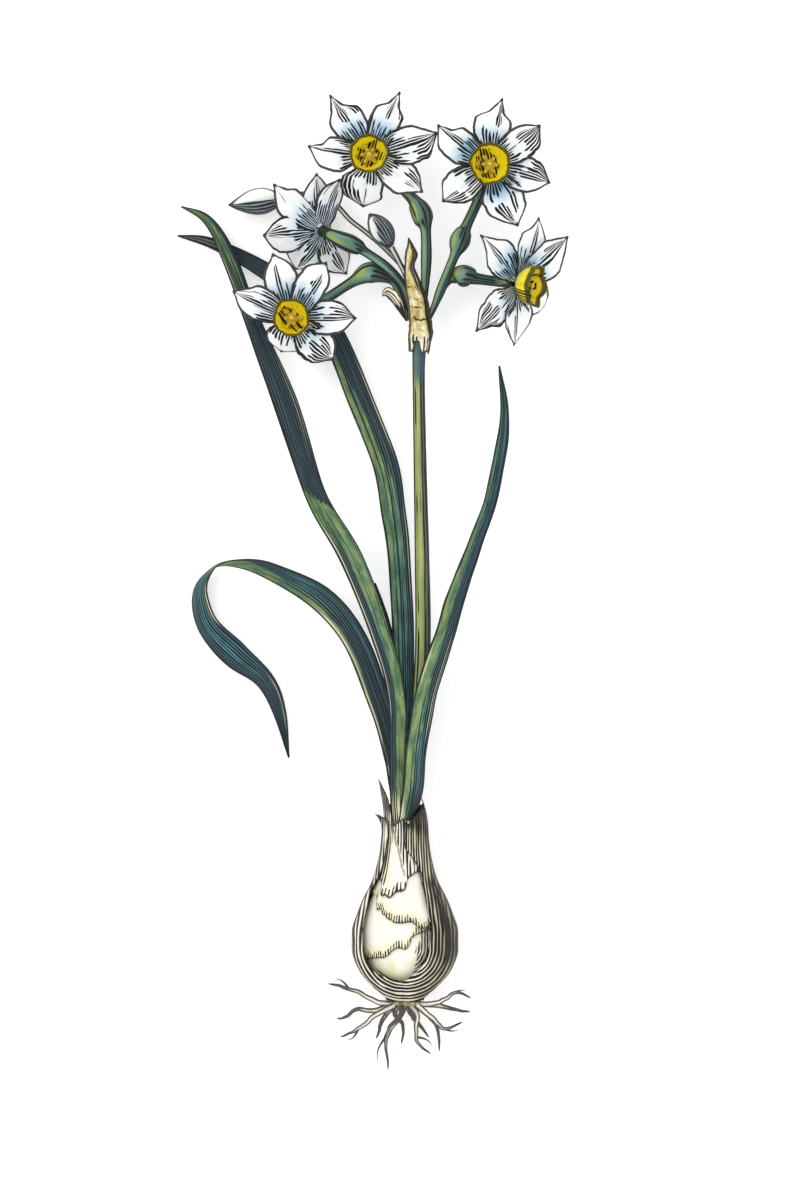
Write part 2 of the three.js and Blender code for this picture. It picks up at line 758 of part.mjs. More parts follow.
// The petal in the flower's own frame, where the flower faces +Z and its throat is the origin.
function petalPoint(tip, level, turn) {
  const out = new THREE.Vector3(tip.x, tip.y, 0).normalize();
  const reach = Math.hypot(tip.x, tip.y);
  const start = out.clone().multiplyScalar(PETAL_ROOT).setZ(level);
  const line = new THREE.CubicBezierCurve3(
    start,
    out.clone().multiplyScalar(reach * 0.36).setZ(level + 1.2),
    out.clone().multiplyScalar(reach * 0.72).setZ(level + 1.8 + tip.z * 0.45),
    tip.clone(),
  );
  return (u, v) => {
    const across = 2 * u - 1;
    const half = rowValue(PETAL_HALF_WIDTHS, v);
    const ahead = line.getTangent(v);
    const side = ahead.clone().cross(new THREE.Vector3(0, 0, 1)).normalize();
    const up = side.clone().cross(ahead);
    const lift = 0.9 * across * across * Math.sin(Math.PI * v) + turn * across * v * v * half * 0.3;
    return line
      .getPoint(v)
      .addScaledVector(side, half * across)
      .addScaledVector(up, lift);
  };
}

// Cup: one ring of yellow tissue with a ruffled rim, closed at its floor.
const CUP_OUTLINE = [
  [0, 0],
  [3.2, 0],
  [5.3, 1.4],
  [7, 4.2],
  [CUP_RADIUS, CUP_HEIGHT - 1],
  [CUP_RADIUS - 0.75, CUP_HEIGHT - 1],
  [6.2, 4.3],
  [4.7, 1.9],
  [2.8, 0.8],
  [0, 0.8],
];
const CUP_FOLDS = 6;
const CUP_SIDES = 18;

function cup(turn) {
  const outline = CUP_OUTLINE.map(([x, y]) => new THREE.Vector2(x, y));
  const geometry = new THREE.LatheGeometry(outline, CUP_SIDES);
  const position = geometry.attributes.position;
  for (let i = 0; i < position.count; i += 1) {
    const [x, y, z] = [position.getX(i), position.getY(i), position.getZ(i)];
    const up = Math.max(y - 2, 0) / (CUP_HEIGHT - 3);
    const ruffle = Math.cos(CUP_FOLDS * Math.atan2(x, z) + turn) * up * up;
    const wider = 1 + 0.06 * ruffle;
    position.setXYZ(i, x * wider, y + 0.7 * ruffle, z * wider);
  }
  geometry.rotateX(Math.PI / 2);
  return geometry.translate(0, 0, HUB_FRONT + GAP);
}

// Stamens: six anthers round the style, standing on the cup's floor.
const STAMEN_FLOOR = HUB_FRONT + GAP + 0.8 + GAP;
const STAMEN_RING = 1.9;
function stamens(turn) {
  const disc = new THREE.CylinderGeometry(2.3, 2.3, 0.5, 8).rotateX(Math.PI / 2);
  disc.translate(0, 0, STAMEN_FLOOR + 0.25);
  const anthers = [0, 1, 2, 3, 4, 5].map((k) => {
    const angle = turn + (k * Math.PI) / 3;
    const height = k % 2 ? 2.6 : 3.6;
    const [x, y] = [STAMEN_RING * Math.cos(angle), STAMEN_RING * Math.sin(angle)];
    const foot = STAMEN_FLOOR + 0.2;
    return stem(
      [
        [x, y, foot, 0.3],
        [x * 0.95, y * 0.95, foot + height * 0.6, 0.65],
        [x * 0.9, y * 0.9, foot + height, 0.25],
      ],
      4,
      2,
    );
  });
  const style = stem(
    [
      [0, 0, STAMEN_FLOOR + 0.2, 0.4],
      [0, 0, STAMEN_FLOOR + 3.6, 0.4],
      [0, 0, STAMEN_FLOOR + 5, 0.9],
      [0, 0, STAMEN_FLOOR + 5.6, 0.5],
    ],
    5,
    3,
  );
  return joined([disc, style, ...anthers]);
}

const headCentre = new THREE.Vector3(...HEAD_CENTRE);

function stalkStart(direction, radius) {
  const way = new THREE.Vector3(...direction).normalize();
  const near = headCentre.clone().addScaledVector(way, PEDICEL_START);
  return [near.x, near.y, near.z, radius];
}

Object.entries(FLOWERS).forEach(([name, flower], number) => {
  const throat = new THREE.Vector3(...flower.throat);
  const facing = new THREE.Vector3(...flower.faces).normalize();
  const bloom = new THREE.Group();
  bloom.position.copy(throat);
  bloom.quaternion.setFromUnitVectors(new THREE.Vector3(0, 0, 1), facing);
  plant.add(bloom);

  // The pedicel swells into the ovary and narrows to the tube that meets the petals' back.
  const end = throat.clone().addScaledVector(facing, HUB_BACK - GAP);
  const near = end.clone().addScaledVector(facing, -3.4);
  const stalk = [
    stalkStart(flower.leaves, 1.05),
    ...flower.stalk,
    [near.x, near.y, near.z, 2.1],
    [end.x, end.y, end.z, 2.3],
  ];
  addPiece(`${name}_stalk`, stem(stalk, 8, 18), STALK_GREEN);

  // Three outer petals sit behind three inner ones, all grown together at the hub.
  const toBloom = bloom.quaternion.clone().invert();
  const hub = new THREE.CylinderGeometry(HUB_RADIUS, HUB_RADIUS - 0.6, HUB_FRONT - HUB_BACK, 16);
  hub.rotateX(Math.PI / 2).translate(0, 0, (HUB_FRONT + HUB_BACK) / 2);
  const petals = flower.tips.map((offset, k) => {
    const tip = new THREE.Vector3(...offset).applyQuaternion(toBloom);
    const level = k % 2 ? 0.5 : -0.1;
    const turn = Math.sin(2.4 * k + number);
    return sheet(petalPoint(tip, level, turn), PETAL_COLUMNS, PETAL_ROWS, () => PETAL_THICKNESS);
  });
  addPiece(`${name}_petals`, joined([hub, ...petals]), PETAL_WHITE, bloom);
  addPiece(`${name}_cup`, cup(number), CUP_YELLOW, bloom);
  addPiece(`${name}_stamens`, stamens(0.5 + number), ANTHER_AMBER, bloom);
});

// Buds: two flowers still closed, each on a thin stalk.
const BUDS = {
  bud_1: {
    leaves: [0, 0.78, -0.62],
    stalk: [
      [5, 280, 14.6, 1.05],
      [0.5, 291.5, 12, 1.05],
      [-8, 301, 11, 1.05],
      [-15.6, 307.6, 10.5, 1.05],
      [-22, 312.6, 10, 1.05],
      [-28, 318.8, 9, 1.1],
      [-36, 322.4, 8.8, 1.2],
      [-43, 322.8, 8.8, 1.3],
      [-49.6, 321.4, 8.8, 1.5],
    ],
    bud: [
      [-49.9, 321.3, 8.8, 1.5],
      [-52.6, 320.8, 8.8, 3.9],
      [-57, 320.2, 8.8, 5.4],
      [-62, 319.6, 8.8, 4.9],
      [-67, 319, 8.8, 2.7],
      [-71, 318.7, 8.8, 0.3],
    ],
  },
  bud_2: {
    leaves: [-0.3, 0.8, 0.52],
    stalk: [
      [2.4, 280, 24.1, 1.05],
      [0.5, 288.6, 23.4, 1.05],
      [-2.6, 295.5, 22.6, 1.1],
      [-5.5, 300.9, 22.3, 1.3],
    ],
    bud: [
      [-5.7, 301.2, 22.3, 1.3],
      [-6.9, 303.3, 22.6, 3.3],
      [-8.6, 306.2, 23, 4.7],
      [-10.8, 309.4, 23.4, 4.5],
      [-12.8, 312.2, 23.8, 2.9],
      [-14.4, 314.4, 24, 0.3],
    ],
  },
};

for (const [name, { leaves, stalk, bud }] of Object.entries(BUDS)) {
  addPiece(`${name}_stalk`, stem([stalkStart(leaves, 1.05), ...stalk], 6, 14), STALK_GREEN);
  const clear = GAP / Math.hypot(...bud[0].slice(0, 3).map((a, i) => bud[1][i] - a));
  const base = bud[0].map((a, i) => a + (bud[1][i] - a) * clear);
  addPiece(name, stem([base, ...bud.slice(1)], 10, 9), PETAL_WHITE);
}

// The origin goes under the middle of the plant.
const whole = new THREE.Group();
whole.add(plant);
whole.updateMatrixWorld(true);
const bounds = new THREE.Box3().setFromObject(whole, true);
const middle = bounds.getCenter(new THREE.Vector3());
plant.position.set(-middle.x, -middle.y, -bounds.min.z);

export default whole;
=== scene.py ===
import random
from math import asin, atan2, cos, exp, hypot, pi, radians, sin, sqrt

import bpy
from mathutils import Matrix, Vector, noise


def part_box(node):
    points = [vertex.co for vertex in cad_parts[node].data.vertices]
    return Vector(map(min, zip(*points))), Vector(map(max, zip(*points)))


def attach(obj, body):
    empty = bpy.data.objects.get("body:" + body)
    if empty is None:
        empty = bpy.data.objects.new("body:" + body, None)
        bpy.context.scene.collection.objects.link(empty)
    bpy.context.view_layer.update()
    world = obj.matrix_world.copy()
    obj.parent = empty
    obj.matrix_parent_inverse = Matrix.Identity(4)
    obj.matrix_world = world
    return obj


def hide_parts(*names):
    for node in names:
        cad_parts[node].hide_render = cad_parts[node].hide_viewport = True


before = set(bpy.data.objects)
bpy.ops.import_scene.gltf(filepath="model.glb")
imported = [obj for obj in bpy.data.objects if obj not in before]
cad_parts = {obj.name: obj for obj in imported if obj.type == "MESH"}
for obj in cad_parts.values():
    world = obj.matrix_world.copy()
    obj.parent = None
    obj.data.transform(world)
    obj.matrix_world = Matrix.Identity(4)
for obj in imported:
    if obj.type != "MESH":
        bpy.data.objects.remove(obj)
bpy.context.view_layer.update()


# Bulb flesh: the white living scales of the bulb, grown tightly round one another.
# It fills the papery skins, and the lower front of it shows bare through the tear in them.
AXIS_HEIGHT = 21
NECK_TOP = 68
BELLY_HEIGHT = 21.5
BULB_PROFILE = [
    [0, 7.6], [1.3, 8.2], [4.9, 12.4], [10.4, 17.5], [15, 20], [19, 21.3], [24, 21.4], [29, 21.2],
    [34.5, 19.3], [40.4, 17], [47.6, 13.4], [54.9, 11.2], [63.2, 9.8], [74, 9.4], [90, 9.3],
]
FLESH_DEPTH = [[0, 4], [53, 4], [59, 2.1], [68, 2], [90, 2]]
flesh_low, flesh_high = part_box("bulb_flesh")
PLANT_PLACE = Vector(((flesh_low[0] + flesh_high[0]) / 2, flesh_low[1] - 0.0002, 0))


def plant_point(point):
    """A point of the plant, in millimetres from the bulb's base, as metres in the CAD frame."""
    return Vector(point) * 0.001 + PLANT_PLACE


def table_value(table, x):
    """The smooth curve through [x, value] pairs with rising x."""
    last = len(table) - 1
    i = min(max(sum(entry[0] <= x for entry in table) - 1, 0), last - 1)
    slopes = []
    for j in (i, i + 1):
        a, b = table[max(j - 1, 0)], table[min(j + 1, last)]
        slopes.append((b[1] - a[1]) / (b[0] - a[0]))
    width = table[i + 1][0] - table[i][0]
    f = min(max((x - table[i][0]) / width, 0), 1)
    lift = f * (1 - f) * width * ((1 - f) * slopes[0] - f * slopes[1])
    return table[i][1] + (table[i + 1][1] - table[i][1]) * f * f * (3 - 2 * f) + lift


def fade(value, start, end):
    """0 at start and 1 at end, smoothly between them."""
    f = min(max((value - start) / (end - start), 0), 1)
    return f * f * (3 - 2 * f)


def rough(x, y, z=0.0):
    """Smooth unevenness from -1 to 1, with bumps about one unit long."""
    return noise.noise(Vector((x, y, z)))


def linear(colour):
    """An sRGB hex colour as linear red, green, blue and alpha."""
    parts = [int(colour[k:k + 2], 16) / 255 for k in (1, 3, 5)]
    return [c / 12.92 if c <= 0.04045 else ((c + 0.055) / 1.055) ** 2.4 for c in parts] + [1.0]


def add_node(tree, kind, inputs, **settings):
    """Add a node with its settings. Each input is a value, a socket or another node's output."""
    node = tree.nodes.new(kind)
    for name, value in settings.items():
        setattr(node, name, value)
    shown = [socket for socket in node.inputs if socket.enabled]
    for key, value in inputs.items():
        socket = shown[key] if isinstance(key, int) else next(s for s in shown if s.name == key)
        if isinstance(value, bpy.types.Node):
            value = next(output for output in value.outputs if output.enabled)
        if isinstance(value, bpy.types.NodeSocket):
            tree.links.new(value, socket)
        else:
            socket.default_value = value
    return node


def open_skin(name, around=None):
    """A new material with its grain, its way across and along in millimetres, and its tones.

    A round piece gives its radius, and across is then measured round it from its upper side.
    """
    material = bpy.data.materials.new(name)
    material.use_nodes = True
    tree = material.node_tree
    tree.nodes.clear()
    grain = add_node(tree, "ShaderNodeAttribute", {}, attribute_name="grain").outputs["Vector"]
    parts = add_node(tree, "ShaderNodeSeparateXYZ", {0: grain}).outputs
    across = parts[0]
    if around:
        turn = add_node(tree, "ShaderNodeMath", {0: parts[0], 1: parts[1]}, operation="ARCTAN2")
        across = add_node(tree, "ShaderNodeMath", {0: turn, 1: around}, operation="MULTIPLY").outputs[0]
    tone = add_node(tree, "ShaderNodeAttribute", {}, attribute_name="tone")
    tones = add_node(tree, "ShaderNodeSeparateColor", {"Color": tone.outputs["Color"]})
    return material, tree, grain, (across, parts[2]), [*tones.outputs, tone.outputs["Alpha"]]


def soft_step(tree, amount, start, end):
    """An amount turned into 0 at start and 1 at end, smoothly between them."""
    limits = {"Value": amount, "From Min": start, "From Max": end}
    return add_node(tree, "ShaderNodeMapRange", limits, interpolation_type="SMOOTHSTEP")


def streaks(tree, grain, spacing, length, least, most, place=0.0):
    """Soft streaks along the grain, about one per spacing and each about length long, in mm."""
    shift = (place, place * 0.7, place * 1.3)
    stretch = (1 / spacing, 1 / spacing, 1 / length)
    where = add_node(
        tree, "ShaderNodeVectorMath", {0: grain, 1: stretch, 2: shift}, operation="MULTIPLY_ADD")
    fineness = {"Vector": where, "Scale": 1.0, "Detail": 3.0, "Roughness": 0.6}
    return soft_step(tree, add_node(tree, "ShaderNodeTexNoise", fineness), least, most)


def marks(tree, ways, reach, spacing, width, length, place=0.0):
    """Fine dark lines side by side along the second of two ways, in millimetres.

    Each line has its own luck, shows where reach (0 to 1) beats it, swells to width and tapers out.
    """
    count = add_node(
        tree, "ShaderNodeMath", {0: ways[0], 1: 1 / spacing, 2: place}, operation="MULTIPLY_ADD")
    run = add_node(tree, "ShaderNodeMath", {0: ways[1], 1: 1 / length}, operation="MULTIPLY")
    where = add_node(tree, "ShaderNodeCombineXYZ", {"X": count, "Y": run, "Z": place})
    waver = add_node(tree, "ShaderNodeTexNoise", {"Vector": where, "Scale": 1.0, "Detail": 1.0})
    bent = add_node(tree, "ShaderNodeMath", {0: waver, 1: 0.9, 2: count}, operation="MULTIPLY_ADD")
    line = add_node(tree, "ShaderNodeMath", {0: bent}, operation="FLOOR")
    luck = add_node(tree, "ShaderNodeTexWhiteNoise", {"W": line}, noise_dimensions="1D").outputs["Value"]
    want = add_node(tree, "ShaderNodeMath", {0: reach, 1: 1.6, 2: -0.75}, operation="MULTIPLY_ADD")
    moody = add_node(tree, "ShaderNodeMath", {0: waver, 1: 1.1, 2: want}, operation="MULTIPLY_ADD")
    keep = add_node(tree, "ShaderNodeMath", {0: moody, 1: luck}, operation="SUBTRACT")
    half = {"Value": keep, "From Max": 0.3, "To Max": width / spacing / 2 + 0.06}
    thick = add_node(tree, "ShaderNodeMapRange", half)
    nearness = add_node(tree, "ShaderNodeMath", {0: bent, 1: 0.5}, operation="PINGPONG")
    drawn = add_node(tree, "ShaderNodeMath", {0: thick, 1: nearness}, operation="ADD")
    return add_node(tree, "ShaderNodeMapRange", {"Value": drawn, "From Min": 0.5, "From Max": 0.6})


def store_ways(piece, name, ways):
    """Store under a name, for every vertex, how far across and how far along its lines it is, in mm."""
    flat = [value for across, far in ways for value in (across, far, 0)]
    piece.data.attributes.new(name, "FLOAT_VECTOR", "POINT").data.foreach_set("vector", flat)


def stored_ways(tree, name):
    """The way across and the way along that a piece has stored under a name."""
    ways = add_node(tree, "ShaderNodeAttribute", {}, attribute_name=name).outputs["Vector"]
    parts = add_node(tree, "ShaderNodeSeparateXYZ", {0: ways}).outputs
    return parts[0], parts[1]


def bulb_arc(x, y):
    """Which of the bulb's arcs, as seen on its front, a point is on, and how far along it, in mm.

    Below the belly's middle the arcs are rings round it, and above it they run on up to the neck.
    """
    if y < BELLY_HEIGHT:
        return hypot(x, BELLY_HEIGHT - y), 20 * atan2(abs(x), BELLY_HEIGHT - y)
    return abs(x) * sqrt(21.4 / table_value(BULB_PROFILE, y)), 10 * pi + y - BELLY_HEIGHT


def both(tree, first, second, operation="MULTIPLY"):
    """Two amounts put together, kept between 0 and 1."""
    return add_node(tree, "ShaderNodeMath", {0: first, 1: second}, operation=operation, use_clamp=True)


def close_skin(tree, base, layers, relief, depth, roughness, **shader):
    """Lay each (amount, colour) over the base, bump by relief and finish the shader."""
    colour = linear(base)
    for amount, over in layers:
        mix = {"Factor": amount, "A": colour, "B": linear(over)}
        colour = add_node(tree, "ShaderNodeMix", mix, data_type="RGBA")
    bump = add_node(tree, "ShaderNodeBump", {"Height": relief, "Distance": depth, "Strength": 1.0})
    limits = {"Value": relief, "To Min": roughness[0], "To Max": roughness[1]}
    gloss = add_node(tree, "ShaderNodeMapRange", limits)
    values = {"Base Color": colour, "Roughness": gloss, "Normal": bump}
    values.update({name.replace("_", " "): value for name, value in shader.items()})
    surface = add_node(tree, "ShaderNodeBsdfPrincipled", values)
    add_node(tree, "ShaderNodeOutputMaterial", {"Surface": surface})


def new_piece(name, points, faces, material, grain, tone=None):
    """A mesh object of points in plant millimetres, with its grain and tones stored on it."""
    mesh = bpy.data.meshes.new(name)
    mesh.from_pydata([plant_point(point) for point in points], [], faces)
    mesh.attributes.new("grain", "FLOAT_VECTOR", "POINT").data.foreach_set(
        "vector", [value for entry in grain for value in entry])
    tone = tone or [(0, 0, 0, 0)] * len(points)
    mesh.attributes.new("tone", "FLOAT_COLOR", "POINT").data.foreach_set(
        "color", [value for entry in tone for value in entry])
    mesh.materials.append(material)
    mesh.shade_smooth()
    piece = bpy.data.objects.new(name, mesh)
    bpy.context.scene.collection.objects.link(piece)
    return piece


def ring_faces(rings, columns, start=0):
    """The faces between rings of points that follow one another, with as many columns in each."""
    faces = []
    for j in range(1, rings):
        for i in range(columns):
            a, b = start + (j - 1) * columns + i, start + (j - 1) * columns + (i + 1) % columns
            faces.append((a, b, b + columns, a + columns))
    return faces


def hand_in(piece, slot, *nodes):
    """The piece rides on the plant and stands for its CAD nodes, which it hides; its slot is not used."""
    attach(piece, "root")
    if nodes:
        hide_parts(*nodes)


# Living scale tissue: ivory white and moist, with fine veins that run from the base to the neck
# and an ochre stain low on its left where the dry skins have rubbed off on it. Its right side and
# the round of its base take painted shade: a deeper cream and dark hatched arcs.
living_scale, tree, grain, ways, tones = open_skin("living bulb scale", around=17.0)
fine_veins = streaks(tree, grain, 0.7, 14, 0.42, 0.66)
stain = both(tree, tones[0], streaks(tree, grain, 5, 6, 0.3, 0.6, 4))
close_skin(
    tree, "#fffcf0",
    [
        (both(tree, fine_veins, 0.25), "#ece3c4"), (both(tree, stain, 0.9), "#e4dd8f"),
        # A deeper cream and hatched arcs of painted shade on the right side and round the base.
        (both(tree, tones[2], 0.4), "#e0d596"),
        (marks(tree, stored_ways(tree, "arcs"), tones[1], 1.2, 0.6, 9, 0.5), "#25221d"),
    ],
    fine_veins, 0.00006, (0.38, 0.5), Subsurface_Weight=0.12, Subsurface_Scale=0.002, Specular_IOR_Level=0.3,
)

FLESH_COLUMNS = 96
flesh_rows = [[4.5, 0.25]] + [
    [table_value(BULB_PROFILE, y) - table_value(FLESH_DEPTH, y), y]
    for y in [1.3 + 66.7 * k / 80 for k in range(81)]
]
points, flesh_grain, flesh_tone = [], [], []
for radius, y in flesh_rows:
    for i in range(FLESH_COLUMNS):
        angle = 2 * pi * i / FLESH_COLUMNS
        reach = radius + 0.09 * rough(3 * sin(angle), 3 * cos(angle), y / 9)
        points.append((reach * sin(angle), y, AXIS_HEIGHT + reach * cos(angle)))
        flesh_grain.append((17 * sin(angle), 17 * cos(angle), y))
        front = fade(cos(angle), 0, 0.5)
        low_left = 0.7 * front * fade(y, 21, 13) * fade(sin(angle), 0.6, -0.4)
        # Painted shade: deeper cream and hatched arcs on the right side and round the base.
        right = front * fade(reach * sin(angle), 0.16 * y, 2.5 + 0.17 * y) * fade(y, 31, 28)
        round_base = fade(hypot(reach * sin(angle), y - BELLY_HEIGHT), 12, 15) * fade(y, 17, 13)
        flesh_tone.append((low_left, max(0.5 * front * round_base, 0.95 * right), 0.85 * right, 0))
faces = [(a, d, c, b) for a, b, c, d in ring_faces(len(flesh_rows), FLESH_COLUMNS)]
faces.append(tuple(range(FLESH_COLUMNS)))
faces.append(tuple(reversed(range(len(points) - FLESH_COLUMNS, len(points)))))
flesh = new_piece("living_bulb", points, faces, living_scale, flesh_grain, flesh_tone)
store_ways(flesh, "arcs", [bulb_arc(x, y) for x, y, z in points])
hand_in(flesh, "bulb_flesh", "bulb_flesh")


# Two inner skins: dried scales, thin as paper, each torn off along a ragged hem that lies on the
# layer below. They are ivory and stained ochre at the hem. Short dark lines up from the hem are
# painted shade under its curled edge, and hatch lines on their right side are painted shade too.
PAPER = 0.6
UPPER_HEM = [
    [-18, 46], [-11.5, 42], [-9.4, 35.7], [-5.2, 32.3], [-2.6, 31.5], [2.8, 31.9], [5.8, 29.6],
    [9, 30], [12, 34], [19, 36],
]
LOWER_HEM = [
    [-21, 15], [-16.5, 15.5], [-14.4, 17], [-7.5, 18.1], [-5.2, 20.4], [-2.6, 21.6], [0.5, 21.2],
    [2, 23.5], [2.8, 25.8], [6.6, 27.7], [10.4, 29.6], [14, 31], [21, 36],
]


def layer_point(angle, y, depth, lean=0.0):
    """A point of a skin at a depth under the bulb's outline, flat where it meets the surface."""
    above = max(y - NECK_TOP, 0) / 20
    reach = table_value(BULB_PROFILE, y) - depth + lean * above * above
    z = max(AXIS_HEIGHT + reach * cos(angle), depth)
    return Vector((reach * sin(angle), y, z))


def closed_sheet(grid, thickness, wrap=False):
    """Points, faces and (row, column) of a thin closed sheet round the middle grid [row][column]."""
    rows, columns = len(grid), len(grid[0])
    shut = [wrap or (row[0] - row[-1]).length < 1e-4 for row in grid]

    def middle(j, i):
        row = grid[min(max(j, 0), rows - 1)]
        if wrap:
            return row[i % columns]
        if shut[min(max(j, 0), rows - 1)]:
            return row[(i + (1 if i >= columns else -1 if i < 0 else 0)) % columns]
        return row[min(max(i, 0), columns - 1)]

    points, places = [], []
    for side in (0.5, -0.5):
        for j in range(rows):
            for i in range(columns):
                across = middle(j, i + 1) - middle(j, i - 1)
                ahead = middle(j + 1, i) - middle(j - 1, i)
                normal = across.cross(ahead).normalized()
                points.append(grid[j][i] + normal * side * thickness(j, i))
                places.append((j, i, side))
    below = rows * columns
    faces = []
    for j in range(rows - 1):
        for i in range(columns if wrap else columns - 1):
            a, b = j * columns + i, j * columns + (i + 1) % columns
            c, d = b + columns, a + columns
            faces += [(a, b, c, d), (d + below, c + below, b + below, a + below)]
            if j == 0:
                faces.append((b, a, a + below, b + below))
            if j == rows - 2:
                faces.append((d, c, c + below, d + below))
        if not wrap and not (shut[j] and shut[j + 1]):
            a, d = j * columns, (j + 1) * columns
            b, c = a + columns - 1, d + columns - 1
            faces += [(a, d, d + below, a + below), (c, b, b + below, c + below)]
    return points, faces, places


def hem_height(hem, depth, angle):
    """The height at which a hem [x, y], drawn on the front, crosses the line at this angle."""
    y = 35.0
    for _ in range(8):
        y = table_value(hem, (table_value(BULB_PROFILE, y) - depth) * sin(angle))
    return y


def torn_skin(name, hem, depth, top, material, slot, node):
    """A skin over the bulb's front, from its torn hem up to where the next skin covers it."""
    columns, rows = 150, 38
    grid, hems = [], []
    angles = [radians(-80 + 160 * i / (columns - 1)) for i in range(columns)]
    for angle in angles:
        x = 20 * sin(angle)
        tear = 0.4 * rough(x * 0.9, depth * 5) + 0.22 * rough(x * 3.1, depth * 9)
        hems.append(hem_height(hem, depth, angle) + tear)
    for j in range(rows):
        v = (j / (rows - 1)) ** 1.8
        row = []
        for angle, low in zip(angles, hems):
            curl = 0.22 * fade(v * (top - low), 2.2, 0) * (0.6 + rough(12 * angle, depth))
            row.append(layer_point(angle, low + (top - low) * v, depth + PAPER / 2 - curl))
        grid.append(row)
    points, faces, places = closed_sheet(grid, lambda j, i: PAPER * (0.4 + 0.5 * fade(j, 0, 6)))
    grain, tone = [], []
    for j, i, side in places:
        angle, up = angles[i], grid[j][i].y - hems[i]
        grain.append((18 * sin(angle), 18 * cos(angle), up))
        bare = fade(angle, -1.05, -0.85) if depth < 2.5 else 1
        # Short lines up from the hem and the hatch on the right side are painted shade.
        stain, hem_shade_lines, shaded = fade(up, 6.5, 0), bare * fade(up, 4.2, 0.8), 0.8 * fade(angle, 0.3, 0.7)
        tone.append((stain, hem_shade_lines, shaded, bare * fade(up, 0.62, 0.3)))
    hand_in(new_piece(name, points, faces, material, grain, tone), slot, node)


def papery_scale(name, radius):
    """Dried scale tissue, thin as paper, for a skin of this radius."""
    material, tree, grain, ways, tones = open_skin(name, around=radius)
    fibres = streaks(tree, grain, 0.35, 16, 0.4, 0.68)
    ochre = both(tree, tones[0], streaks(tree, grain, 4, 5, 0.3, 0.6, 8))
    close_skin(
        tree, "#fdf9ec",
        [
            (both(tree, fibres, 0.3), "#ece2c2"), (both(tree, ochre, 0.8), "#ddd288"),
            # Both rows of marks are painted shade: hatch on the shaded side, and short lines up from a curled
            # hem.
            (marks(tree, ways, tones[2], 1.3, 0.7, 12, 0.4), "#25221d"),
            (marks(tree, ways, tones[1], 1.1, 0.5, 6, 0.1), "#2c2822"),
            (both(tree, tones[3], 0.92), "#2c2822"),
        ],
        fibres, 0.00005, (0.45, 0.6), Specular_IOR_Level=0.2, Subsurface_Weight=0.06, Subsurface_Scale=0.001,
    )
    return material


inner_scale = papery_scale("papery ivory scale", 18.0)
torn_skin("lower_papery_scale", LOWER_HEM, 3.0, 51, inner_scale, "pale_tunic", "lower_scale")
torn_skin("upper_papery_scale", UPPER_HEM, 2.0, 55, inner_scale, "cream_tunic", "upper_scale")


# Neck sheath: the thin white tube that the leaves pushed up through, torn off above and below.
# It is a dead scale with close upright fibres, and its left edge still stands in a curled point.
SHEATH_RIM = [
    [-180, 79], [-150, 77], [-120, 80], [-97, 83], [-82, 88.4], [-67, 85], [-50, 79.5], [-36, 71],
    [-20, 71.5], [-5, 73], [10, 72.5], [30, 73.5], [50, 76], [70, 78.5], [90, 78.5], [120, 78],
    [150, 80], [180, 79],
]
SHEATH_LEAN = [[-180, 0.6], [-110, 1], [-82, 2.6], [-55, 1.2], [0, 0.8], [60, -3], [110, -3], [180, 0.6]]
SHEATH_HEM = [
    [-14, 49.6], [-9.8, 48], [-8, 42.5], [-6.4, 41.3], [-4.1, 43.4], [0.1, 44.9], [1.1, 48.7],
    [2.8, 50.3], [6.2, 51.8], [14, 52],
]
SHEATH_COLUMNS, SHEATH_ROWS = 168, 60
sheath_angles = [-180 + 360 * i / SHEATH_COLUMNS for i in range(SHEATH_COLUMNS)]
sheath_low, sheath_high = [], []
for degrees in sheath_angles:
    angle = radians(degrees)
    front = hem_height(SHEATH_HEM, 1.0, max(min(angle, 1.5), -1.5))
    behind = fade(abs(degrees), 82, 104)
    tear = 0.3 * rough(degrees * 0.12, 3.3) + 0.15 * rough(degrees * 0.4, 1.7)
    sheath_low.append(front + (39 - front) * behind + tear)
    frayed = 0.9 * abs(rough(degrees * 0.21, 8.8)) + 0.4 * rough(degrees * 0.7, 5.1)
    sheath_high.append(table_value(SHEATH_RIM, degrees) - frayed)
grid = []
for j in range(SHEATH_ROWS):
    v = j / (SHEATH_ROWS - 1)
    row = []
    for degrees, low, high in zip(sheath_angles, sheath_low, sheath_high):
        y = low + (high - low) * v
        pleat = 0.1 * rough(degrees * 0.16, y * 0.05) - 0.18 * fade(v, 0.06, 0)
        row.append(layer_point(radians(degrees), y, 1.3 + pleat, table_value(SHEATH_LEAN, degrees)))
    grid.append(row)
points, faces, places = closed_sheet(
    grid, lambda j, i: 0.2 + 0.35 * fade(min(j, SHEATH_ROWS - 1 - j), 0, 8), wrap=True)
sheath_grain, sheath_tone = [], []
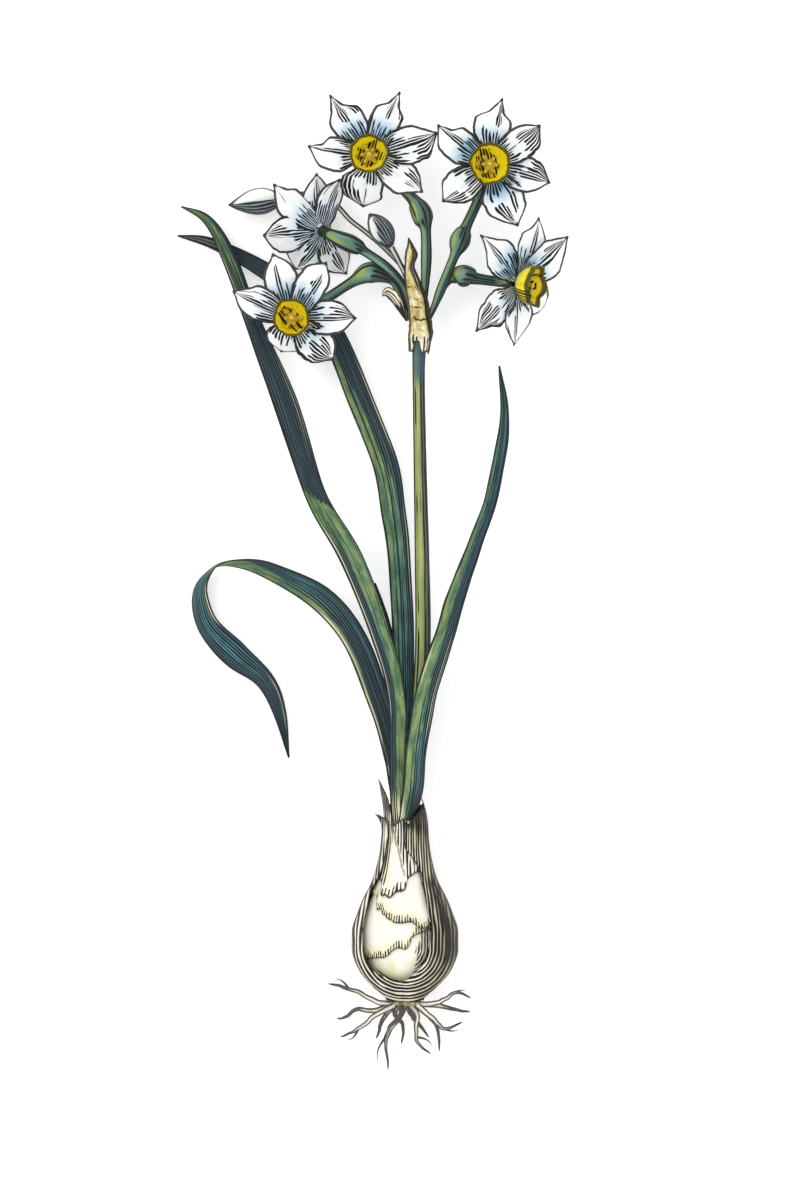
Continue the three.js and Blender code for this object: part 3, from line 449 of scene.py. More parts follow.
for j, i, side in places:
    angle, up = radians(sheath_angles[i]), grid[j][i].y - sheath_low[i]
    sheath_grain.append((9.5 * sin(angle), 9.5 * cos(angle), up))
    y, turn = grid[j][i].y, sin(angle)
    # A long crack slants down the front. Dark hatch lines of painted shade lie on the right of it, low
    # on the sheath's left and on its curled point.
    crack = grid[j][i].x + 4.7 - (68 - y) * 0.245 + 0.7 * rough(y * 0.3, 6.6) + 0.2 * rough(y * 1.1, 2.6)
    right = 0.75 * fade(crack, 0.2, 1.2) * fade(y, 47, 51)
    right += 0.85 * fade(turn, -0.45, -0.75) * fade(y, 42, 48)
    right += 0.5 * fade(turn, -0.4, -0.6) * fade(y, 66, 72)
    # Short lines up from the lower hem and the darkened top right are painted shade too; the rest of these
    # marks outline the hems, the rim and the crack and fill the curled left point dark.
    ends = fade(min(up, sheath_high[i] - y), 0.9, 0.5) + 0.9 * fade(y, 73, 77) * fade(turn, -0.6, -0.8)
    ends += fade(y, 69, 72) * fade(turn, 0.15, 0.35)
    ends += 0.9 * fade(abs(crack), 0.45, 0.2) * fade(y, 49, 51) * fade(y, 72, 70) * (cos(angle) > 0)
    sheath_tone.append((0.7 * fade(turn, -0.2, -0.75), fade(up, 5, 1) * (1 - right), min(right, 1), ends))
neck_scale = papery_scale("papery neck scale", 9.5)
sheath = new_piece("neck_sheath_tube", points, faces, neck_scale, sheath_grain, sheath_tone)
hand_in(sheath, "pale_tunic", "neck_sheath")


# Tunic: the bulb's outermost skins, dried brown and stretched as the bulb grew. They split down
# the front and up the neck, and their fibres run from the base to the neck like meridians. The
# brown is their colour on the back; on the front it is laid only on the right, as painted shade
# that deepens to near black there and at the flanks, with dark hatched arcs of painted shade,
# densest on the right and near the base.
TUNIC_RIM = [
    [-180, 72], [-150, 69], [-120, 73], [-97, 71], [-82, 74.5], [-67, 74], [-48, 72], [-36, 69.5],
    [-22, 72], [-7, 73], [8, 71], [22, 73.5], [37, 75.5], [52, 77], [67, 77], [82, 81.5], [97, 76],
    [125, 76], [150, 70], [180, 72],
]
TUNIC_LEAN = [[-180, 0], [-110, 2], [-82, 28], [-50, 4], [0, 0], [70, -5], [110, -5], [180, 0]]
# The tear's two sides as [y, x]: they part near the base and end in a slit up the neck.
TEAR_LEFT = [
    [8.2, -1.4], [8.7, -3.4], [11.3, -11.3], [16.8, -15.4], [26.8, -17.2], [36.8, -15.8],
    [45.8, -12.9], [50, -10.5], [56, -8], [62, -6.4], [70, -5.9], [90, -5.6],
]
TEAR_RIGHT = [
    [8.2, -1.4], [9, 0.6], [14, 6], [22.2, 9.6], [28, 10.4], [33.2, 10.7], [38.6, 8.7],
    [45.8, 7.4], [51, 6.4], [53.6, 3], [55, -0.3], [60, -1.2], [72, -1.7], [90, -1.8],
]
TEAR_FOOT = 8.2
TUNIC_COLUMNS = 220
tunic_heights = [0, 1, 2, 3, 4, 5, 6, 7, 7.6] + [TEAR_FOOT + 0.42 * k for k in range(16)]
tunic_heights += [14.9 + 0.95 * k for k in range(48)]
tunic_top = tunic_heights[-1]


def tear_angle(side, y, ragged):
    """The angle of a side of the tear at height y, with small nicks in it."""
    reach = table_value(BULB_PROFILE, y)
    if y <= TEAR_FOOT:
        return asin(-1.4 / table_value(BULB_PROFILE, TEAR_FOOT))
    nick = 0.28 * rough(y * 0.55, ragged) * fade(y, TEAR_FOOT, 12) + 0.12 * rough(y * 1.9, ragged)
    return asin((table_value(side, y) + nick) / reach)


grid, tunic_angles = [], []
for base_y in tunic_heights:
    right = tear_angle(TEAR_RIGHT, base_y, 2.5)
    left = tear_angle(TEAR_LEFT, base_y, 7.5) + 2 * pi
    row, angles = [], []
    for i in range(TUNIC_COLUMNS):
        u = i / (TUNIC_COLUMNS - 1)
        angle = right + (left - right) * u
        degrees = angle * 180 / pi
        degrees -= 360 if degrees > 180 else 0
        frayed = 1.3 * abs(rough(degrees * 0.3, 2.2)) + 0.5 * rough(degrees * 1.1, 6.1)
        rim = table_value(TUNIC_RIM, degrees) - frayed
        stretch = fade(base_y, 50, tunic_top)
        y = base_y + (rim - tunic_top) * stretch
        edge = min(u, 1 - u) * (left - right) * table_value(BULB_PROFILE, y)
        curl = 0.3 * fade(edge, 1.6, 0) * fade(y, 9, 14) * (0.7 + rough(y * 0.3, 4.4))
        ridge = 0.1 * rough(5 * sin(angle), 5 * cos(angle), y * 0.03)
        fold = 0.12 * sin(y * 2.4 + 2 * rough(angle * 2, 1)) * fade(y, 9, 5)
        depth = PAPER / 2 + 0.05 - curl - ridge + fold
        row.append(layer_point(angle, y, depth, table_value(TUNIC_LEAN, degrees)))
        angles.append((angle, edge))
    grid.append(row)
    tunic_angles.append(angles)
tunic_rows = len(grid)
points, faces, places = closed_sheet(
    grid, lambda j, i: 0.22 + 0.3 * fade(tunic_angles[j][i][1], 0, 2) * fade(tunic_rows - 1 - j, 0, 4))
tunic_grain, tunic_tone = [], []
for j, i, side in places:
    angle, edge = tunic_angles[j][i]
    y = grid[j][i].y
    tunic_grain.append((21 * sin(angle), 21 * cos(angle), y))
    turn, front = sin(angle), cos(angle)
    # The reach of the hatched arcs, the brown on the right and the near black below are painted shade.
    dark = 0.64 + 0.55 * fade(turn, 0.2, 0.6) + 0.25 * fade(y, 46, 54)
    if turn < 0:
        dark = 0.84 + 0.3 * fade(turn, -0.84, -0.95) + 0.2 * fade(y, 48, 56) - 0.6 * fade(y, 60, 66)
    dark = max(dark, 0.85 * fade(y, 13, 9))
    dark *= fade(front, 0.02, 0.26)
    hem = fade(edge, 0.6, 0.3) * fade(y, 8, 9) * (0.5 + 0.5 * fade(y, 45, 50))
    hem += fade(j, tunic_rows - 3.4, tunic_rows - 1.6)
    right = fade(turn, 0.3, 0.8) * (0.55 + 0.45 * fade(y, 8, 20))
    right += 0.5 * fade(turn, 0, 0.35) * fade(y, 56, 64)
    right *= 1 - 0.45 * fade(y, 46, 54)
    right += fade(turn, 0, 0.3) * fade(y, 66, 71)
    brown = right * fade(front, -0.35, 0.05) + 0.85 * fade(front, 0.22, -0.05)
    brown *= 1 - 0.8 * fade(y, 64, 69) * fade(turn, -0.3, -0.6)
    painted_deep_shade = fade(right, 0.7, 0.95) * fade(front, -0.5, 0) + fade(front, 0.36, 0.2) * fade(front, -0.3, 0)
    tunic_tone.append((dark, min(brown, 1), min(painted_deep_shade, 1), min(hem, 1)))
papery_tunic, tree, grain, ways, tones = open_skin("papery brown tunic", around=21.0)
fibres = streaks(tree, grain, 0.5, 30, 0.36, 0.64)
wide_fibres = streaks(tree, grain, 1.6, 40, 0.4, 0.62, 6)
back_lines = both(tree, tones[1], tones[0], "SUBTRACT")
close_skin(
    tree, "#fbf6e2",
    [
        # Painted shade: the browns on the front's right, the near black and the hatched arcs.
        (both(tree, wide_fibres, 0.32), "#e4d9a2"), (both(tree, tones[1], 0.7), "#c4b47c"),
        (both(tree, both(tree, fibres, tones[1]), 0.7), "#836a45"),
        (both(tree, both(tree, tones[1], wide_fibres), 0.7), "#5d4a31"),
        (both(tree, tones[2], both(tree, wide_fibres, 0.35, "ADD")), "#2e2a23"),
        (marks(tree, ways, back_lines, 1.7, 0.8, 26, 0.7), "#4a3a28"),
        (marks(tree, stored_ways(tree, "arcs"), tones[0], 1.4, 0.92, 15, 0.5), "#12110f"),
        (both(tree, tones[3], 0.95), "#26231e"),
    ],
    fibres, 0.00012, (0.42, 0.64), Specular_IOR_Level=0.2,
)
tunic = new_piece("brown_papery_tunic", points, faces, papery_tunic, tunic_grain, tunic_tone)
store_ways(tunic, "arcs", [bulb_arc(grid[j][i].x, grid[j][i].y) for j, i, side in places])
hand_in(tunic, "brown_tunic", "bulb_tunic")


# Roots: fleshy white threads that spread from the basal plate, the corky disc under the bulb.
# They are round and limp, thin to a hair at the tip, and a few of them fork.
ROOT_PATHS = [
    [[-4.5, -1.6, 22], [-11, -0.6, 23], [-19, 3.2, 21.5], [-26, 5.4, 19], [-30.6, 6.4, 17.5]],
    [[-4.5, -1.8, 19], [-12.6, -4.6, 16.5], [-19.6, -4.2, 14], [-23.6, -7.2, 11], [-27.4, -8.4, 8]],
    [[-3.9, -1.8, 24], [-12.2, -6, 26], [-16.8, -10, 27], [-20.4, -11.9, 27.5], [-25.8, -14.4, 27]],
    [[-3.4, -1.8, 18.5], [-7.6, -6, 16], [-10, -11.4, 13], [-11.4, -16, 10]],
    [[0, -1.8, 23.5], [-1.9, -6.4, 25.5], [-6.4, -12.4, 27.5], [-7.6, -17.8, 29], [-6.8, -27.2, 30]],
    [[-2.4, -1.8, 17.5], [-4, -6, 15], [-0.8, -10.4, 11], [-1.3, -18.7, 6]],
    [[2, -1.8, 21], [5, -6, 21.5], [4.6, -11.4, 22.5], [5.2, -17.2, 23.5], [10.3, -21.2, 24]],
    [[4, -1.8, 18.5], [9.6, -6.8, 15.5], [12.8, -11.4, 12], [13.9, -21.4, 8]],
    [[4.6, -1.6, 23.5], [11.4, -7.4, 25.5], [15.6, -11, 27], [22.8, -8.4, 28]],
    [[4.8, -1.6, 20], [14.2, -2.4, 18.5], [20.4, -4.2, 15.5], [26.2, -5.6, 12]],
    [[5, -1.6, 22.5], [10.5, -1.4, 23], [16, 0.4, 23.5], [20.8, 3.2, 23], [26.4, 1, 22]],
    [[1, -1.8, 17], [2.5, -6.5, 11], [6, -11, 6], [9.5, -16, 2.5]],
    [[-1, -1.8, 25.5], [-2, -6, 31], [-6, -10, 35], [-9, -15.5, 36]],
]


def along(stations, t):
    """A row of stations, each [x, y, z, ...sizes], read as one smooth line with t from 0 to 1."""
    last = len(stations) - 1
    place = min(max(t, 0), 1) * last
    k = min(int(place), last - 1)
    f = place - k
    start, end = stations[k], stations[k + 1]
    before = stations[k - 1] if k else [2 * a - b for a, b in zip(start, end)]
    after = stations[k + 2] if k + 2 <= last else [2 * b - a for a, b in zip(start, end)]
    return [
        a + f * ((b - p) / 2 + f * ((p - 2.5 * a + 2 * b - n / 2) + f * (3 * a - p - 3 * b + n) / 2))
        for p, a, b, n in zip(before, start, end, after)
    ]


def growth_tree(name, inputs):
    """A Geometry Nodes tree with its named inputs, between the geometry it grows on and a material."""
    tree = bpy.data.node_groups.new(name, "GeometryNodeTree")
    tree.interface.new_socket("Geometry", in_out="OUTPUT", socket_type="NodeSocketGeometry")
    for label, kind in {"Geometry": "Geometry", **inputs, "Material": "Material"}.items():
        tree.interface.new_socket(label, in_out="INPUT", socket_type="NodeSocket" + kind)
    return tree, tree.nodes.new("NodeGroupInput").outputs


def finish_growth(tree, geometry, material):
    """Make the geometry real, give it its material and hand it out of the tree."""
    real = add_node(tree, "GeometryNodeRealizeInstances", {"Geometry": geometry})
    skinned = add_node(tree, "GeometryNodeSetMaterial", {"Geometry": real, "Material": material})
    add_node(tree, "NodeGroupOutput", {"Geometry": skinned})


# A tube grown along lines: each line's vertices carry their girth in metres. It stores the grain
# round and along the tube, how far each point faces the pale side, the one that gets the sun, and
# how far in from the nearest flank it lies, in millimetres as seen from above.
tube_tree, given = growth_tree("tube along a line", {
    "Sides": "Int", "Ridges": "Float", "Ridge Depth": "Float", "Grain Radius": "Float",
    "Pale Side": "Vector",
})
line = add_node(tube_tree, "GeometryNodeMeshToCurve", {"Mesh": given["Geometry"]})
length = add_node(tube_tree, "GeometryNodeSplineParameter", {}).outputs["Length"]
length_mm = add_node(tube_tree, "ShaderNodeMath", {0: length, 1: 1000.0}, operation="MULTIPLY")
circle = add_node(
    tube_tree, "GeometryNodeCurvePrimitiveCircle", {"Resolution": given["Sides"], "Radius": 1.0})
ring_place = add_node(tube_tree, "GeometryNodeInputPosition", {})
measured, ring = [
    add_node(
        tube_tree, "GeometryNodeStoreNamedAttribute", {"Geometry": geometry, "Name": label, "Value": value},
        data_type=kind)
    for geometry, label, value, kind in [
        (line, "length", length_mm, "FLOAT"), (circle, "ring", ring_place, "FLOAT_VECTOR")]
]
girth, stored_ring, stored_length = [
    add_node(tube_tree, "GeometryNodeInputNamedAttribute", {"Name": label}, data_type=kind)
    for label, kind in [("girth", "FLOAT"), ("ring", "FLOAT_VECTOR"), ("length", "FLOAT")]
]
swept = add_node(
    tube_tree, "GeometryNodeCurveToMesh",
    {"Curve": measured, "Profile Curve": ring, "Scale": girth, "Fill Caps": True})
parts = add_node(tube_tree, "ShaderNodeSeparateXYZ", {0: stored_ring}).outputs
turn = add_node(tube_tree, "ShaderNodeMath", {0: parts[1], 1: parts[0]}, operation="ARCTAN2")
wave = add_node(tube_tree, "ShaderNodeMath", {0: turn, 1: given["Ridges"]}, operation="MULTIPLY")
crest = add_node(tube_tree, "ShaderNodeMath", {0: wave}, operation="COSINE")
height = add_node(tube_tree, "ShaderNodeMath", {0: crest, 1: given["Ridge Depth"]}, operation="MULTIPLY")
ribbed = add_node(tube_tree, "ShaderNodeMath", {0: height, 1: girth}, operation="MULTIPLY")
normal = add_node(tube_tree, "GeometryNodeInputNormal", {})
offset = add_node(tube_tree, "ShaderNodeVectorMath", {0: normal, "Scale": ribbed}, operation="SCALE")
shaped = add_node(tube_tree, "GeometryNodeSetPosition", {"Geometry": swept, "Offset": offset})
round_grain = add_node(
    tube_tree, "ShaderNodeVectorMath", {0: stored_ring, "Scale": given["Grain Radius"]}, operation="SCALE")
long_grain = add_node(tube_tree, "ShaderNodeCombineXYZ", {"Z": stored_length})
whole_grain = add_node(tube_tree, "ShaderNodeVectorMath", {0: round_grain, 1: long_grain}, operation="ADD")
facing = add_node(
    tube_tree, "ShaderNodeVectorMath", {0: normal, 1: given["Pale Side"]}, operation="DOT_PRODUCT")
pale = add_node(tube_tree, "ShaderNodeMapRange", {"Value": facing.outputs["Value"], "From Min": -1.0})
level = add_node(tube_tree, "ShaderNodeVectorMath", {0: normal, 1: (1.0, 1.0, 0.0)}, operation="MULTIPLY")
turned_away = add_node(tube_tree, "ShaderNodeVectorMath", {0: level}, operation="LENGTH").outputs["Value"]
in_share = add_node(tube_tree, "ShaderNodeMath", {0: 1.0, 1: turned_away}, operation="SUBTRACT")
girth_mm = add_node(tube_tree, "ShaderNodeMath", {0: girth, 1: 1000.0}, operation="MULTIPLY")
inset = add_node(tube_tree, "ShaderNodeMath", {0: in_share, 1: girth_mm}, operation="MULTIPLY")
for label, value, kind in [
    ("grain", whole_grain, "FLOAT_VECTOR"), ("pale", pale, "FLOAT"), ("inset", inset, "FLOAT"),
]:
    shaped = add_node(
        tube_tree, "GeometryNodeStoreNamedAttribute", {"Geometry": shaped, "Name": label, "Value": value},
        data_type=kind)
smooth = add_node(tube_tree, "GeometryNodeSetShadeSmooth", {"Geometry": shaped})
finish_growth(tube_tree, smooth, given["Material"])


def grown(name, source, tree, sizes):
    """The plain mesh that a growth tree makes of the source object, as a new object."""
    modifier = source.modifiers.new("growth", "NODES")
    modifier.node_group = tree
    for socket in tree.interface.items_tree:
        if socket.in_out == "INPUT" and socket.name in sizes:
            modifier[socket.identifier] = sizes[socket.name]
    bpy.context.view_layer.update()
    mesh = bpy.data.meshes.new_from_object(source.evaluated_get(bpy.context.evaluated_depsgraph_get()))
    mesh.name = name
    source.modifiers.remove(modifier)
    bpy.data.objects.remove(source)
    piece = bpy.data.objects.new(name, mesh)
    bpy.context.scene.collection.objects.link(piece)
    return piece


SUN_SIDE = (-0.77, 0.15, 0.62)


def stored(tree, name):
    """The amount that a piece has stored under a name."""
    return add_node(tree, "ShaderNodeAttribute", {}, attribute_name=name).outputs["Fac"]


def flank_line(tree, width):
    """The dark line down each flank of a tube, about as wide as width in millimetres."""
    limits = {"Value": stored(tree, "inset"), "From Min": width + 0.1, "From Max": width - 0.1}
    return add_node(tree, "ShaderNodeMapRange", limits)


def tube(name, lines, material, sides, ridges=0.0, depth=0.0, grain_radius=3.0, pale_side=SUN_SIDE):
    """Tubes along lines of [x, y, z, radius, tone] points, in millimetres."""
    mesh = bpy.data.meshes.new(name + "_line")
    points, edges, girths, tones = [], [], [], []
    for path in lines:
        for k, (x, y, z, radius, *tone) in enumerate(path):
            if k:
                edges.append((len(points) - 1, len(points)))
            points.append(plant_point((x, y, z)))
            girths.append(radius * 0.001)
            tones += (tone + [0, 0, 0, 0])[:4]
    mesh.from_pydata(points, edges, [])
    mesh.attributes.new("girth", "FLOAT", "POINT").data.foreach_set("value", girths)
    mesh.attributes.new("tone", "FLOAT_COLOR", "POINT").data.foreach_set("color", tones)
    source = bpy.data.objects.new(name + "_line", mesh)
    bpy.context.scene.collection.objects.link(source)
    return grown(name, source, tube_tree, {
        "Sides": sides, "Ridges": ridges, "Ridge Depth": depth, "Grain Radius": grain_radius,
        "Pale Side": pale_side, "Material": material,
    })


# Root tissue: soft and cream-white, brown in its wrinkles, with painted shade on the side turned
# from the sun.
root_tissue, tree, grain, ways, tones = open_skin("fleshy root", around=1.2)
wrinkles = streaks(tree, grain, 0.5, 3.5, 0.4, 0.62)
shaded = soft_step(tree, stored(tree, "pale"), 0.8, 0.4)
soil = streaks(tree, grain, 1.2, 7, 0.46, 0.62, 5)
close_skin(
    tree, "#fbf8ec",
    [
        (both(tree, soil, 0.35), "#e2d5a6"), (both(tree, wrinkles, 0.2), "#c9bb8c"),
        (both(tree, shaded, 0.6), "#a39a80"), (both(tree, flank_line(tree, 0.58), 0.92), "#24211d"),
        (both(tree, tones[0], 0.95), "#24211d"),
    ],
    wrinkles, 0.00008, (0.55, 0.8), Subsurface_Weight=0.06, Subsurface_Scale=0.001,
)
ROOT_STEPS, FORK_STEPS = 44, 14
root_lines = []
chance = random.Random(11)
for number, path in enumerate(ROOT_PATHS):
    line = []
    for k in range(ROOT_STEPS + 1):
        t = k / ROOT_STEPS
        x, y, z = along(path, t)
        sway = 0.45 * fade(t, 0.05, 0.4)
        x += sway * rough(t * 7, number * 3.1)
        y += sway * rough(t * 7, number * 5.3)
        radius = 0.14 + 1.08 * sqrt(1 - t) * (1 + 0.08 * rough(t * 16, number))
        line.append([x, y, z, radius, fade(t, 0.8, 1)])
    root_lines.append(line)
    if number in (0, 2, 4, 6, 8, 10):
        start = line[int(ROOT_STEPS * chance.uniform(0.55, 0.72))]
        way = Vector(line[-1][:3]) - Vector(start[:3])
        side = Vector((way.y, -way.x, 0)) * chance.choice((-0.5, 0.5))
        fork = []
        for k in range(FORK_STEPS + 1):
            t = k / FORK_STEPS
            spot = Vector(start[:3]) + way * t * 0.75 + side * t * (1.6 - t)
            fork.append([*spot, 0.5 * (1 - t) + 0.1, fade(t, 0.6, 1)])
        root_lines.append(fork)
root_threads = tube("root_threads", root_lines, root_tissue, 16, 5.0, 0.02, 1.2, (-0.6, 0.4, 0.7))
hand_in(root_threads, "root", "roots")

# The plate is a low corky disc, rough with the scars of last year's roots.
corky_plate, tree, grain, ways, tones = open_skin("corky basal plate")
scars = streaks(tree, grain, 1.1, 1.1, 0.42, 0.6)
close_skin(tree, "#c9b98c", [(both(tree, scars, 0.8), "#4a3f2d")], scars, 0.0003, (0.7, 0.9))
PLATE_OUTLINE = [
    [0, -0.3], [5.6, -0.3], [6.4, -0.45], [6.6, -0.9], [6.3, -1.4], [5.6, -1.9], [4, -2.15], [2, -2.2],
    [0, -2.2],
]
PLATE_COLUMNS = 48
points, plate_grain = [], []
for j, (radius, y) in enumerate(PLATE_OUTLINE):
    for i in range(PLATE_COLUMNS):
        angle = 2 * pi * i / PLATE_COLUMNS
        bumpy = radius + 0.2 * rough(4 * sin(angle), 4 * cos(angle), j) * (radius > 0)
        y_here = y + 0.1 * rough(5 * sin(angle), j, 4)
        points.append((bumpy * sin(angle), y_here, AXIS_HEIGHT + bumpy * cos(angle)))
        plate_grain.append((6 * sin(angle), 6 * cos(angle), j))
plate = new_piece(
    "basal_plate", points, ring_faces(len(PLATE_OUTLINE), PLATE_COLUMNS), corky_plate, plate_grain)
hand_in(plate, "root")


# Leaves: four long straps and a short one, in two ranks from the neck. They are glaucous green
# with ribs from base to tip, shallowly channelled, and they arch and twist as they wither down.
# Stations are [x, y, z, half width, roll in degrees, channel]. Light rows give the painted light:
# [place, strength of the yellow-green band of painted light, its left and right edge from -1 to 1,
# strength of the teal painted highlight], and pale edges are [start, end, place across, strength].
# Off the band the leaf is painted dark navy with more hatch, as painted shade.
LEAVES = {
    "leaf_1": {
        "opens": -1,
        "stations": [
            [-1.9, 68.3, 25.9, 3.1, 0, 1.5], [-2.6, 84, 26.1, 3.3, 0, 0.8], [-2.8, 102, 26.6, 3.4, 0, 0.7],
            [-3.4, 121, 26.8, 3.5, -5, 0.7], [-8.4, 142, 26, 4, -10, 0.8], [-21.2, 176, 23, 4.8, -12, 0.8],
            [-35.6, 202, 19.5, 4.1, 5, 0.8], [-48.2, 240.2, 15, 4.9, 14, 0.8],
            [-60.4, 270.4, 12, 3.4, 12, 0.7], [-70, 296, 9.6, 3, 8, 0.5], [-79, 312.4, 7, 1.9, 0, 0.3],
            [-90, 318.4, 5, 0.3, 0, 0],
        ],
        "light": [
            [0, 0.5, -1, 1, 0], [0.12, 0.9, -0.35, 1.2, 0.1], [0.3, 1, -0.1, 1.2, 0.2],
            [0.4, 0.9, -0.1, 1.2, 0.25], [0.48, 0.85, -0.6, 1.3, 0.2], [0.51, 0.9, -1.3, 1.3, 0],
            [0.566, 1, -1.3, -1.3, 0], [0.575, 0, -1.3, -1.3, 0], [0.7, 0, -1, -0.5, 0.1],
            [0.78, 0.5, -1.2, 0.4, 0.1], [0.87, 0.9, -1.2, 0.3, 0], [1, 1, -1.2, 0.5, 0],
        ],
        "pale_edges": [[0.22, 0.52, -0.76, 0.8], [0.58, 0.7, 0.75, 0.7], [0.72, 0.84, -0.8, 0.5]],
    },
    "leaf_2": {
        "opens": 1,
        "stations": [
            [0, 68.3, 18.6, 3, 0, 1.4], [-0.3, 84, 18.3, 3.4, 0, 0.8], [0, 102, 17, 3.8, 0, 0.7],
            [-0.4, 128, 15.6, 4.1, 0, 0.7], [-1.6, 164, 14.5, 4.4, 4, 0.7], [-4, 192, 13.3, 4.9, 8, 0.7],
            [-8.4, 215, 12.2, 5.2, 10, 0.7], [-20.2, 246.2, 10.5, 5, 10, 0.7],
            [-31, 269.4, 9, 4.8, 6, 0.6], [-43.6, 283.6, 7.2, 4.2, 0, 0.5],
            [-63.6, 296.8, 4.4, 3, -6, 0.4], [-80, 304.4, 2.4, 2, -3, 0.2], [-91.6, 306.8, 0.9, 0.3, 0, 0],
        ],
        "light": [
            [0, 0.3, -1.3, 1.3, 0], [0.12, 0.1, -1.3, 1.3, 0.2], [0.2, 0.25, -1.3, 0.6, 0.8],
            [0.27, 0.5, -1.3, 0.4, 1], [0.34, 0.7, -1, 0.5, 1], [0.43, 0.85, -1, 0.45, 0.5],
            [0.52, 0.8, -1.1, 0.1, 0.2], [0.6, 0.75, -1.2, -0.45, 0], [0.7, 0.5, -1.2, -0.8, 0],
            [0.8, 0, -1.2, -0.9, 0], [1, 0, -1.2, -0.9, 0],
        ],
        "pale_edges": [
            [0.3, 0.45, 0.84, 0.5], [0.5, 0.62, 0.92, 0.7], [0.84, 1, -0.3, 0.9], [0.87, 1, 0.35, 0.8],
        ],
    },
    "leaf_3": {
        "opens": 1,
        "stations": [
            [0, 69.1, 17, 3, 0, 1.4], [-2.9, 84, 16.3, 3.1, 0, 0.8], [-4.9, 98, 15.2, 3.7, 0, 0.7],
            [-9.8, 118, 14.3, 4.4, -4, 0.7], [-20.4, 144.4, 13.2, 5, -8, 0.8],
            [-33.6, 160.6, 12, 5, -15, 0.8], [-52, 171, 10.4, 4.5, -35, 0.7],
            [-65.4, 175, 9, 3.9, -62, 0.7], [-76.4, 173.6, 7.8, 3.7, -92, 0.7],
            [-82.8, 164, 6.8, 4.7, -125, 0.8], [-79.8, 150, 5.4, 5.2, -148, 0.8],
            [-68.6, 137.8, 4.2, 5.3, -163, 0.8], [-56.6, 127.6, 3.4, 3.8, -170, 0.5],
            [-50.6, 115.2, 2.4, 2.8, -174, 0.3], [-46.8, 96.4, 0.7, 0.3, -178, 0],
        ],
        "light": [
            [0, 0.3, -1, 1, 0], [0.1, 0.5, -1.2, -0.7, 0.1], [0.25, 0.6, -1.2, -0.6, 0.15],
            [0.32, 0.7, -1.2, -0.2, 0.3], [0.4, 0.8, -1.2, -0.2, 0.5], [0.44, 0.8, -1.2, 0, 0.2],
            [0.48, 0.85, -1.2, 0.4, 0], [0.54, 0.9, -1.2, 1.1, 0], [0.58, 0.7, -1.2, 1.2, 0],
            [0.61, 0, -1.2, 1.2, 0.4], [0.7, 0, -1.2, 1.2, 0.7], [0.77, 0, -1.2, 1.2, 1],
            [0.83, 0, -1.2, 1.2, 0.5], [0.9, 0, -1.2, 1.2, 0], [1, 0, -1.2, 1.2, 0],
        ],
        "pale_edges": [[0.05, 0.36, -0.84, 0.8], [0.6, 0.74, 0.82, 0.9], [0.84, 0.97, 0.6, 0.6]],
    },
    "leaf_4": {
        "opens": -1,
        "stations": [
            [0.3, 69.3, 27.6, 3, 3, 1.5], [3.3, 84, 28.3, 4.1, 14, 1.7], [5, 102, 28.8, 4, 8, 1],
            [8.4, 122, 29.2, 4.3, 8, 0.8], [15.6, 144.8, 28, 4, 10, 0.8], [21.2, 163.2, 25.5, 3.8, 8, 0.7],
            [27.2, 180, 22, 3, 0, 0.7], [33.6, 198, 17, 2.6, -8, 0.6], [38, 218, 11, 2.5, -10, 0.5],
            [40, 236, 5.6, 1.7, -5, 0.3], [38, 254.4, 0.9, 0.3, 0, 0],
        ],
        "light": [
            [0, 0.4, -1, 0.2, 0], [0.08, 0.8, -1.2, 0, 0.2], [0.18, 1, -1.2, 0.1, 0.7],
            [0.27, 1, -1.2, 0.25, 0.6], [0.36, 1, -1.2, 0, 0.4], [0.45, 0.95, -1.2, -0.05, 0.3],
            [0.55, 0.8, -1.2, -0.1, 0.4], [0.65, 0.6, -1.2, -0.1, 0.6], [0.75, 0.5, -1.2, -0.1, 0.6],
            [0.88, 0.4, -1.2, -0.2, 0.5], [1, 0.3, -1.2, -0.2, 0],
        ],
        "pale_edges": [[0.2, 0.42, 0.72, 0.8], [0.3, 0.4, -0.8, 0.7]],
    },
    "leaf_5": {
        "opens": 1,
        "stations": [
            [0, 68.9, 15.4, 2.8, 0, 1.4], [-2.2, 84, 14.4, 3.1, 0, 0.8], [-2.8, 100, 13.2, 3.4, 0, 0.7],
            [-3.6, 116, 12.4, 3.4, 0, 0.6], [-5.6, 133, 11.8, 3.1, 0, 0.5],
            [-8.4, 151.2, 11.4, 2.3, 0, 0.3], [-12, 166.8, 11.2, 0.3, 0, 0],
        ],
        "light": [[0, 0.2, -1, 1, 0], [0.3, 0, -1, 1, 0.1], [1, 0, -1, 1, 0.1]],
        "pale_edges": [[0.6, 0.8, 0.5, 0.4]],
    },
}


def strap_frame(stations, t):
    """The sizes of a strap at t, with the ways that run to its right and up from its face."""
    x, y, z, half, roll, channel = along(stations, t)
    a, b = along(stations, max(t - 0.002, 0)), along(stations, min(t + 0.002, 1))
    ahead = (Vector(b[:3]) - Vector(a[:3])).normalized()
    level = (Vector((0, 0, 1)) - ahead * ahead.z).normalized()
    flat = ahead.cross(level)
    side = flat * cos(radians(roll)) + ahead.cross(flat) * sin(radians(roll))
    return Vector((x, y, z)), half, channel, side, side.cross(ahead)


def blade_spots(count, left, right, rim):
    """Places across a blade from -1 to 1; the two outer ones on each side bound its dark rim.

    The blade's half widths and the rim are given in millimetres.
    """
    a, b = min(rim / left, 0.42), min(rim / right, 0.42)
    low, high = -1 + 1.2 * a, 1 - 1.2 * b
    return [-1, -1 + a] + [low + (high - low) * i / (count - 1) for i in range(count)] + [1 - b, 1]


